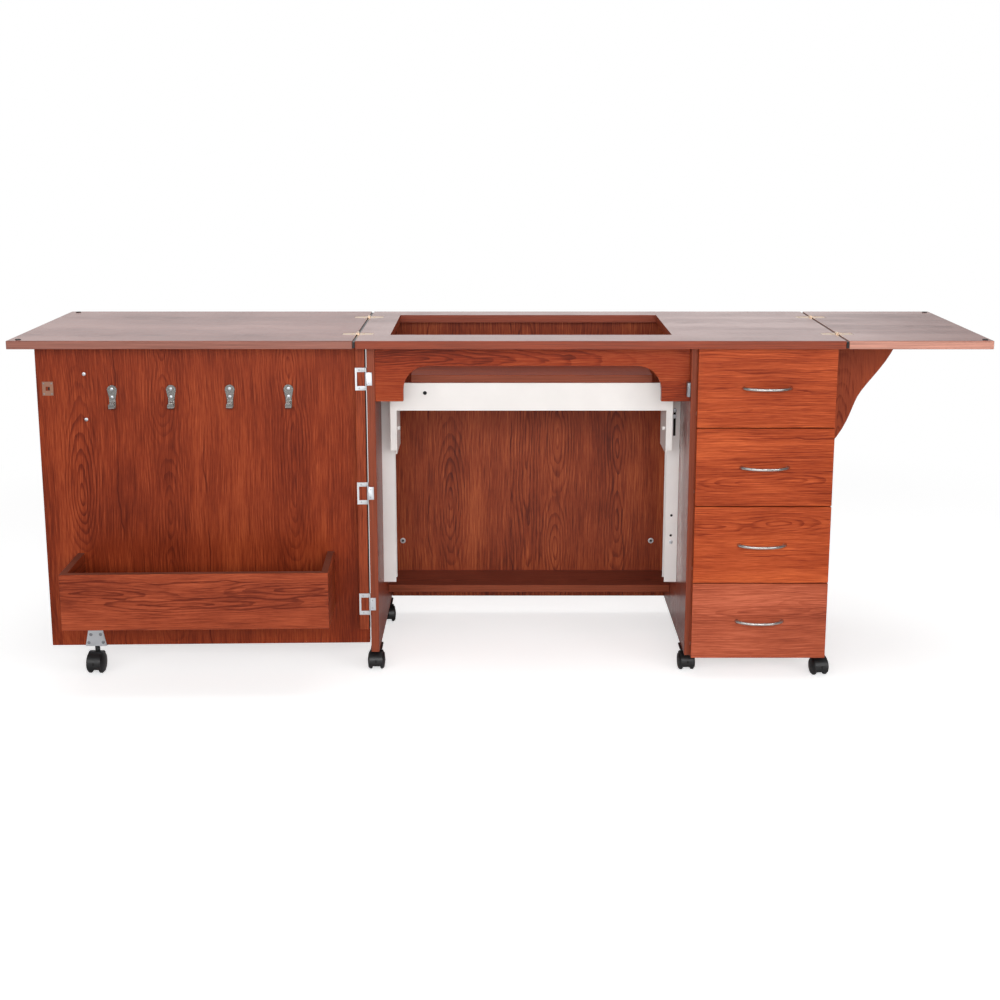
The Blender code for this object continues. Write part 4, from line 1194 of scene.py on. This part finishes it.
@dataclass
class Door(Assembly):
    """The open door with its strip, bin, hinges, hooks, strike plate, pull and caster bracket."""

    ajar: float = 1.5
    face: float = 0.0194
    board: float = 0.018
    hooks: int = 4
    hook_first: float = 0.171
    hook_pitch: float = 0.1283
    hook_z: float = 0.635
    hook_head: float = 0.027
    hook_wide: float = 0.011
    hook_neck: float = 0.0071
    hook_curl: float = 0.008
    hook_sheet: float = 0.002
    hook_sink: float = 0.0003
    hook_rows: tuple[float, ...] = (
        0.0002, 0.0008, 0.002, 0.0035, 0.0055, 0.008, 0.011, 0.020, 0.030, 0.040
    )
    hook_tip: tuple[Pair, ...] = ((0.0025, 1.0), (0.0045, 0.97), (0.006, 0.85), (0.0068, 0.6))
    hook_taper: Pair = (0.030, 0.019)
    hook_screw: Pair = (0.0035, 0.0016)
    hook_screws: Pair = (0.018, 0.0004)
    hinges: int = 3
    hinge_screw: Pair = (0.0024, 0.0007)
    hinge_sink: float = 0.0002
    strip_screws: Pair = (-0.0142, 0.0200)
    panel_screws: Pair = (0.0062, 0.0088)
    # Corners and end inset of the near-black strip of painted shade beside the hinge strip.
    gap_shade_low: Pair = (-0.0024, 0.0026)
    gap_shade_high: Pair = (-0.0003, 0.0171)
    gap_shade_inset: float = 0.002
    strike_hole: tuple[float, float, float, float] = (0.0034, 0.0032, 0.0004, 0.0003)
    strike_screw: Pair = (0.0018, 0.0006)
    strike_screws: Triple = (0.0085, 0.0005, 0.0115)
    stem_along: float = 0.6212
    bracket_front: float = 0.0019
    bracket_screw: Pair = (0.0037, 0.0016)
    bracket_screws: tuple[Pair, ...] = (
        (-0.0108, 0.0275), (0.0108, 0.0275), (-0.0160, 0.0090), (0.0160, 0.0090)
    )
    pull_along: float = 0.615
    pull_gap: float = 0.0003
    pull_screw: Pair = (0.0042, 0.0022)
    pull_z: float = 0.636
    pull: Pull = field(default_factory=Pull)

    def dress(self) -> None:
        """Dresses the boards and the sheet-metal pieces."""
        hearts = (
            Heart(-1.063, 0.412, 0.19, 1.7),
            Heart(-0.875, 0.635, 0.30, 1.0, 0.45),
            Heart(-0.874, 0.755, 0.35, 1.0, 0.6),
            Heart(-0.865, 0.375, 0.22, 1.0, 0.5),
            Heart(-0.867, 0.235, 0.25, 1.0, 0.5),
            Heart(-0.590, 0.700, 0.28, 1.0, 0.7),
            Heart(-0.585, 0.545, 0.20, 1.0, 0.7),
            Heart(-0.581, 0.480, 0.25, 1.0, 0.6),
            Heart(-0.582, 0.410, 0.22, 1.0, 0.6),
        )
        veins = (-0.980, -0.783)
        panel = Teak("door_teak", Grain.UPRIGHT, 7.0, hearts, veins, band_along=(EDGE_X,))
        self.dress_node("door_panel", panel)
        strip = {
            "tones": Tones(body=(0.285, 0.052, 0.019)),
            "figure": 0.2,
            "band_along": (EDGE_X,),
            # The near-black band on the strip's side faces is painted shade.
            "band": (0.08, 0.022, 0.012),
        }
        strip_look = Teak("strip_teak", Grain.UPRIGHT, 19.0, (Heart(-0.20, 0.4, 0.05),), **strip)
        self.dress_node("door_hinge_strip", strip_look)
        box = {
            "tones": Tones((0.130, 0.017, 0.006), (0.300, 0.051, 0.018), (0.480, 0.100, 0.038)),
            "ring_pitch": 0.0055,
            "reach": (0.008, 0.030),
            "band_along": (EDGE_Z,),
            "band": (0.21, 0.066, 0.042),
        }
        hearts = (Heart(0.239, -1.160, 0.10), Heart(0.214, -0.980, 0.06), Heart(0.243, -0.725, 0.10))
        box_look = Teak("bin_teak", Grain.ROUND_A_BOX, 23.0, hearts, (0.226, 0.204, 0.262), **box)
        self.dress_node("door_bin", box_look)
        for n in range(1, self.hinges + 1):
            # The door's hinge leaves get the lighter zinc as painted light; their frame leaves keep plain
            # zinc.
            self.soften_node(f"door_hinge_leaf_{n}", ZINC_LIT, "door", ease=0.0003)
            self.soften_node(f"door_hinge_frame_leaf_{n}", ZINC, "cabinet", ease=0.0003)
        self.soften_node("strike_plate", STRIKE, "door", ease=0.0002)
        self.soften_node("door_caster_bracket", ZINC, "door", ease=0.0003)
        self.soften_node("touch_catch", STEEL, "cabinet", ease=0.0006)

    def build(self) -> None:
        """Builds the pull, the hooks, all screws, painted shade for the strike plate's hole, and a dark strip
        of painted shade in the gap beside the hinge strip.
        """
        outer = self.flat @ at(-self.pull_along, self.face + self.board + self.pull_gap, self.pull_z)
        bow = outer @ turn("Z", 180) @ turn("Y", 90)
        add_piece("door_pull_bow", self.pull.mesh(), NICKEL, "door", bow, ("door_pull",))
        ends = (self.pull_z - self.pull.half, self.pull_z + self.pull.half)
        spots = [(-self.pull_along, self.face, z) for z in ends]
        self._screws("door_pull_screws", self.pull_screw, spots, ZINC)
        self._hooks()
        self._hinge_screws()
        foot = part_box("door_caster_bracket")[0].z
        front = self.face - self.bracket_front
        spots = [(x - self.stem_along, front, foot + up) for x, up in self.bracket_screws]
        self._screws("door_caster_bracket_screws", self.bracket_screw, spots)
        self._strike()
        self._gap_shade()

    @property
    def straight(self) -> Matrix:
        """From the panel's axes at the hinges to the cabinet's."""
        axis = self.joint("door_swing")["pos_m"]
        return at(axis[0], axis[1], 0.0)

    @property
    def flat(self) -> Matrix:
        """From the door's own axes, a little ajar, to the cabinet's."""
        return self.straight @ turn("Z", self.ajar)

    def _gap_shade(self) -> None:
        """Builds a near-black strip of painted shade in the gap along the hinge strip's edge."""
        low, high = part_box("door_hinge_strip")
        # Near-black strip that stands for the shade in the gap beside the hinge strip.
        strip = Shape.gap_shade_strip(self.gap_shade_low, self.gap_shade_high, high.z - low.z - 2 * self.gap_shade_inset)
        where = self.flat @ at(0, 0, low.z + self.gap_shade_inset)
        add_piece("door_strip_gap_shade", strip, BLACK, "door", where)

    def _hook(self) -> Mesh:
        """Bends one coat hook from sheet, with its back on Y = 0.

        Returns:
            The hook's mesh.
        """
        half_sheet, wide, neck = self.hook_sheet / 2, self.hook_wide, self.hook_neck
        curl_z = self.hook_curl - self.hook_head
        path = [(-half_sheet, self.hook_head - down) for down in self.hook_rows]
        path += Shape.arc((-self.hook_curl, curl_z), self.hook_curl - half_sheet, 0, -180, 16)
        halves = []
        for _, z in path:
            down = min(self.hook_head - z, self.hook_taper[0])
            round_top = math.sqrt(max(wide ** 2 - (wide - min(down, wide)) ** 2, 1e-6))
            halves.append(round_top - (wide - neck) * max(down - wide, 0.0) / self.hook_taper[1])
        path += [(half_sheet - 2 * self.hook_curl, curl_z + up) for up, _ in self.hook_tip]
        halves += [neck * share for _, share in self.hook_tip]
        return Shape.ribbon(path, halves, self.hook_sheet)

    def _hooks(self) -> None:
        """Builds the coat hooks and their screws."""
        hook = self._hook()
        back = self.face - self.hook_sink
        spots = []
        for n in range(self.hooks):
            along = -self.hook_first - n * self.hook_pitch
            where = self.flat @ at(along, back, self.hook_z)
            node = f"coat_hook_{n + 1}"
            add_piece(f"{node}_bent", hook.copy(), NICKEL, "door", where, (node,))
            spots += [(along, back - self.hook_sheet, self.hook_z + up) for up in self.hook_screws]
        self._screws("coat_hook_screws", self.hook_screw, spots, ZINC)

    def _strike(self) -> None:
        """Builds a near-black disc of painted shade for the strike plate's hole, and its corner screws."""
        middle = self.flat.inverted() @ middle_of("strike_plate")
        radius, aside, back, deep = self.strike_hole
        # Near-black disc painted as the shade inside the strike plate's hole.
        hole = Shape.disc(radius, 0, deep, deep, steps=20)
        spot = self.flat @ at(middle.x + aside, middle.y + back, middle.z) @ turn("X", 90)
        add_piece("strike_plate_hole_shade", hole, HOLE_SHADE, "door", spot)
        wide, out, high = self.strike_screws
        front = middle.y - out
        corners = [(middle.x + x, front, middle.z + z) for x in (-wide, wide) for z in (-high, high)]
        self._screws("strike_plate_screws", self.strike_screw, corners)

    def _screws(
        self, name: str, size: Pair, spots: Sequence[Triple], finish: Finish = STEEL, body: str = "door"
    ) -> None:
        """Builds a set of screws that face the room.

        Args:
            name: The set's name.
            size: Radius and height of a screw's head.
            spots: Where the screws sit, in the door's axes or in those of the panel at its hinges.
            finish: Their finish.
            body: The body that they ride on.
        """
        axes = self.flat if body == "door" else self.straight
        screw = Shape.screw(*size)
        parts = [(screw, axes @ at(*spot) @ turn("X", 90)) for spot in spots]
        add_piece(name, Shape.merged(parts), finish, body)

    def _hinge_screws(self) -> None:
        """Builds the screws of the door's hinges, on the strip and on the panel's edge."""
        heights = [middle_of(f"door_hinge_leaf_{n}").z for n in range(1, self.hinges + 1)]
        sets = (
            ("door_hinge_strip_screws", self.strip_screws, "door"),
            ("door_hinge_panel_screws", self.panel_screws, "cabinet"),
        )
        for name, (x, off), body in sets:
            spots = [(x, -self.hinge_sink, z + up) for z in heights for up in (-off, off)]
            self._screws(name, self.hinge_screw, spots, body=body)


@dataclass
class Lift(Assembly):
    """The white lift, its rails and their fasteners."""

    hole: Pair = (-0.1683, 0.6307)
    hole_radius: float = 0.0045
    # Foot, rim and top heights of the near-black discs of painted hole shade.
    hole_shade_heights: Triple = (-0.0002, 0.0002, 0.0003)
    slot_x: float = 0.4016
    slot_z: Pair = (0.516, 0.582)
    slot_half: float = 0.0028
    rail_screw: Pair = (0.0046, 0.0022)
    rail_gap: float = 0.0002
    rail_hole: float = 0.0030
    rail_screws: tuple[Pair, ...] = ((0.4016, 0.576), (0.4016, 0.562), (0.3993, 0.2627))
    rail_holes: tuple[Pair, ...] = ((0.3996, 0.3268), (0.3990, 0.2786))
    leg: float = 0.0410
    leg_sheet: float = 0.0028
    pin_back: float = 0.030
    pin_z: float = 0.544

    def dress(self) -> None:
        """Dresses the frame, the rails and the platform."""
        self.soften_node("lift_frame", WHITE, "lift", ease=0.0006)
        for side, _ in SIDES:
            # The rails get the lighter white, which is painted light.
            self.soften_node(f"lift_rail_{side}", RAIL_WHITE_LIT, "cabinet", ease=0.0004)
        look = {"figure": 0.4, "band_along": (EDGE_Y,), "band": (0.26, 0.066, 0.034)}
        platform = Teak("platform_teak", Grain.LEVEL, 93.0, (Heart(0.72, 0.1, 0.08),), **look)
        self.dress_node("lift_platform", platform)

    def build(self) -> None:
        """Builds the hole's rim with a near-black disc of painted shade in it, the rail's screws, near-black
        marks of painted shade for the rail's slot and holes, and the stop pins.
        """
        low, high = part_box("lift_frame")
        r = self.hole_radius
        rim = [(r, -0.0002), (r * 1.45, -0.0002), (r * 1.35, 0.0006), (r, 0.0007), (r, -0.0002)]
        where = at(self.hole[0], low.y, self.hole[1]) @ turn("X", 90)
        add_piece("lift_hole_rim", Shape.lathe(rim), WHITE, "lift", where)
        # Near-black disc painted as the shade inside the lift's hole.
        dot = Shape.disc(r, *self.hole_shade_heights, steps=24)
        add_piece("lift_hole", dot, HOLE_SHADE, "lift", where)
        self._rail_marks(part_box("lift_rail_right")[0].y)
        self._stops(low, high)

    def _rail_marks(self, face: float) -> None:
        """Builds the right rail's screws, and near-black marks of painted shade for its slot and holes.

        Args:
            face: Y of the rail's front.
        """
        half, middle = self.slot_half, sum(self.slot_z) / 2
        reach = (self.slot_z[1] - self.slot_z[0]) / 2 - half
        outline = Shape.arc((0, reach), half, 0, 180, 8) + Shape.arc((0, -reach), half, 180, 360, 8)
        slot = Shape.plate(outline, thickness=0.0003, ease=0.0001)
        where = at(self.slot_x, face, middle) @ turn("X", 90)
        add_piece("lift_rail_slot", slot, HOLE_SHADE, "cabinet", where)
        screw = Shape.screw(*self.rail_screw)
        parts = [(screw, at(x, face - self.rail_gap, z) @ turn("X", 90)) for x, z in self.rail_screws]
        add_piece("lift_rail_screws", Shape.merged(parts), ZINC, "cabinet")
        hole = Shape.disc(self.rail_hole, *self.hole_shade_heights, steps=20)
        parts = [(hole, at(x, face, z) @ turn("X", 90)) for x, z in self.rail_holes]
        add_piece("lift_rail_holes", Shape.merged(parts), HOLE_SHADE, "cabinet")

    def _stops(self, low: Vector, high: Vector) -> None:
        """Builds the two white stop pins on the inner sides of the lift's legs.

        Args:
            low: Lowest corner of the lift's box.
            high: Highest corner of the lift's box.
        """
        profile = [(0, -0.001), (0.0045, -0.001), (0.0045, 0.0045), (0.0036, 0.0055), (0, 0.0058)]
        pin = Shape.lathe(profile, steps=20)
        inner = self.leg - self.leg_sheet
        places = ((low.x + inner, 90), (high.x - inner, -90))
        parts = [(pin, at(x, low.y + self.pin_back, self.pin_z) @ turn("Y", angle)) for x, angle in places]
        add_piece("lift_stop_pins", Shape.merged(parts), WHITE, "lift")


@dataclass
class Casters(Assembly):
    """The twin-wheel casters and the plates that hold their stems."""

    names: tuple[str, ...] = ("left_front", "left_rear", "divider_front", "right_front", "right_rear", "door")
    shell: float = 0.0025
    slit: Pair = (0.0140, 0.0018)
    slit_up: float = 43.0
    drain: Pair = (0.0040, 0.0070)
    drain_up: float = 8.0
    sink: float = 0.0004
    plate: Triple = (0.0265, 0.046, 0.0024)
    plate_corner: float = 0.004
    plate_back: float = 0.008
    bore: float = 0.0062

    def dress(self) -> None:
        """Rounds and dresses the housings and the wheels."""
        for name in self.names:
            caster = f"caster_{name}"
            self.soften_node(f"{caster}_housing", BLACK, caster, ease=0.0007)
            self.soften_node(f"{caster}_wheels", BLACK, f"{caster}_wheel_pair", ease=0.0006)

    def build(self) -> None:
        """Builds near-black slivers of painted shade for the slit and the drain hole in the front of each
        housing, and the plates above the stems.
        """
        slit, drain = (self._sliver(size) for size in (self.slit, self.drain))
        for name in self.names:
            caster = f"caster_{name}"
            axle = self.joint(f"{caster}_roll")
            middle = Vector(axle["pos_m"])
            heading = math.degrees(math.atan2(axle["axis"][1], axle["axis"][0]))
            hub = at(*middle) @ turn("Z", heading)
            out = at(0, 0, middle.z + self.shell - self.sink)
            marks = ((slit, self.slit_up), (drain, self.drain_up))
            parts = [(mesh, hub @ turn("X", 90 - up) @ out) for mesh, up in marks]
            # Near-black slivers painted as the shade inside the housing's slit and drain hole.
            add_piece(f"{caster}_slit_shade", Shape.merged(parts), HOLE_SHADE, caster)
            if name != "door":
                self._plate(caster, Vector(self.joint(f"{caster}_swivel")["pos_m"]))

    def _plate(self, caster: str, stem: Vector) -> None:
        """Builds the plate that holds a caster's stem under a panel.

        Args:
            caster: The caster.
            stem: A point on the stem's line.
        """
        x, y, sheet = self.plate[0] / 2, self.plate[1] / 2, self.plate[2]
        plate = Shape.plate(Shape.rounded((-x, -y), (x, y), self.plate_corner), sheet, ease=0.0004)
        bore = Shape.disc(self.bore, -0.01, 0.01, 0.01, steps=24)
        bore.transform(at(0, -self.plate_back, 0))
        where = at(stem.x, stem.y + self.plate_back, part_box("left_side_panel")[0].z - sheet)
        add_piece(f"{caster}_plate", Shape.carved(plate, [bore]), BLACK, "cabinet", where)

    @staticmethod
    def _sliver(size: Pair) -> Mesh:
        """A thin plate with round ends.

        Args:
            size: Its width in X and its height in Y.

        Returns:
            The plate's mesh.
        """
        x, y = size[0] / 2, size[1] / 2
        outline = Shape.rounded((-x, -y), (x, y), min(x, y))
        return Shape.plate(outline, thickness=0.0006, ease=0.0001)


@dataclass(frozen=True)
class Lamp:
    """A soft lamp: where it stands, what it points at, width and height of its face, and watts."""

    name: str
    place: Triple
    target: Triple
    size: Pair
    power: float

    def build(self) -> None:
        """Adds the lamp to the scene."""
        light = bpy.data.lights.new(self.name, "AREA")
        light.shape = "RECTANGLE"
        light.size, light.size_y = self.size
        light.energy = self.power
        lamp = add_object(self.name, light)
        lamp.location = self.place
        lamp.rotation_euler = (Vector(self.target) - Vector(self.place)).to_track_quat("-Z", "Y").to_euler()


@dataclass
class Studio:
    """Floor, white surroundings, soft lamps and the camera."""

    camera_place: Triple = (0.0, -3.3191, 1.2271)
    camera_down: float = 11.4666
    lens: float = 53.196
    shift_up: float = -0.0789
    room_light: float = 0.21
    room_mirrored: float = 0.22
    floor_half: float = 14.0
    floor_shade: float = 0.88
    floor_mirrored: float = 0.22
    floor_glow: float = 0.58
    lamps: tuple[Lamp, ...] = (
        Lamp("left_softbox", (-2.4, -2.9, 1.5), (-0.3, 0.0, 0.40), (1.5, 1.8), 21.0),
        Lamp("right_softbox", (2.5, -2.7, 1.5), (0.3, 0.0, 0.40), (1.5, 1.8), 28.0),
        Lamp("front_softbox", (0.0, -3.8, 1.5), (0.0, 0.0, 0.40), (3.2, 1.4), 77.0),
        Lamp("top_softbox", (0.0, 0.2, 3.2), (0.0, 0.1, 0.3), (3.0, 2.0), 30.0),
    )

    def build(self) -> None:
        """Builds the whole studio."""
        bpy.context.scene.view_settings.view_transform = "Standard"
        self._world()
        self._floor()
        for lamp in self.lamps:
            lamp.build()
        self._camera()

    @staticmethod
    def _grey(graph: Graph, kind: str, shade: float, **constants: float) -> Node:
        """A plain shader of one grey, with its other sockets."""
        return graph.node(kind, None, {"Color": (shade, shade, shade, 1.0), **constants})

    def _world(self) -> None:
        """White to the camera, a dim room with a white back wall in reflections, and soft light all round."""
        world = bpy.data.worlds.new("white_room")
        bpy.context.scene.world = world
        world.use_nodes = True
        graph = Graph(world.node_tree)
        heading = graph.coordinates("Generated")
        ahead = graph.along(heading, EDGE_Y).eased(-0.10, 0.35)
        aside = abs(graph.along(heading, EDGE_X)).eased(0.30, 0.80)
        right = graph.along(heading, EDGE_X).eased(0.20, 0.34)
        levels = (1.0, self.room_mirrored, self.room_light)
        wall, dim, soft = (self._grey(graph, "ShaderNodeBackground", 1.0, Strength=level) for level in levels)
        mirrored = graph.blend(ahead * (1.0 - aside * 0.45) * (1.0 - right * 0.62), dim, wall)
        lit = graph.blend(graph.ray("Is Glossy Ray"), soft, mirrored)
        seen = graph.math("MAXIMUM", graph.ray("Is Camera Ray"), graph.ray("Is Transmission Ray"))
        graph.node("ShaderNodeOutputWorld", None, {"Surface": graph.blend(seen, lit, wall).outputs[0]})

    def _floor(self) -> None:
        """Builds a pale floor that keeps the cabinet's soft shadow and runs out into white."""
        work = bmesh.new()
        bmesh.ops.create_grid(work, x_segments=8, y_segments=8, size=self.floor_half)
        floor = add_object("studio_floor", Shape.closed(work))
        material = bpy.data.materials.new("look_studio_floor")
        material.use_nodes = True
        graph = Graph(material.node_tree)
        shades = (self.floor_shade, self.floor_mirrored)
        pale, dim = (self._grey(graph, "ShaderNodeBsdfDiffuse", shade) for shade in shades)
        levels = (self.floor_glow, 1.0)
        glow, white = (self._grey(graph, "ShaderNodeEmission", 1.0, Strength=level) for level in levels)
        away = Signal(graph, graph.vector("LENGTH", "Value", graph.coordinates("Object")))
        lit = graph.blend(graph.ray("Is Glossy Ray") * away.eased(0.8, 2.0), pale, dim)
        lifted = graph.node("ShaderNodeAddShader", None, {0: lit.outputs[0], 1: glow.outputs[0]})
        seen = graph.blend(away.eased(1.4, 2.6), lifted, white)
        look = graph.blend(graph.ray("Is Camera Ray"), lit, seen)
        graph.node("ShaderNodeOutputMaterial", None, {"Surface": look.outputs[0]})
        floor.data.materials.append(material)

    def _camera(self) -> None:
        """Adds the camera at the photograph's viewing angle."""
        data = bpy.data.cameras.new("photo_view")
        data.sensor_width = 36.0
        data.lens = self.lens
        data.shift_y = self.shift_up
        camera = add_object("photo_view", data)
        camera.location = self.camera_place
        camera.rotation_euler = (math.radians(90.0 - self.camera_down), 0.0, 0.0)
        bpy.context.scene.camera = camera


def main() -> None:
    """Loads the frame, then builds and dresses each sub-assembly in order."""
    logging.basicConfig(level=logging.INFO, format="%(name)s: %(message)s")
    for leftover in list(bpy.data.objects):
        bpy.data.objects.remove(leftover)
    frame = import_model()
    for part in (Tops(frame), Carcass(frame), Drawers(frame), Door(frame), Lift(frame), Casters(frame)):
        part.dress()
        part.build()
    Studio().build()
    bpy.context.view_layer.update()


if __name__ == "__main__":
    main()
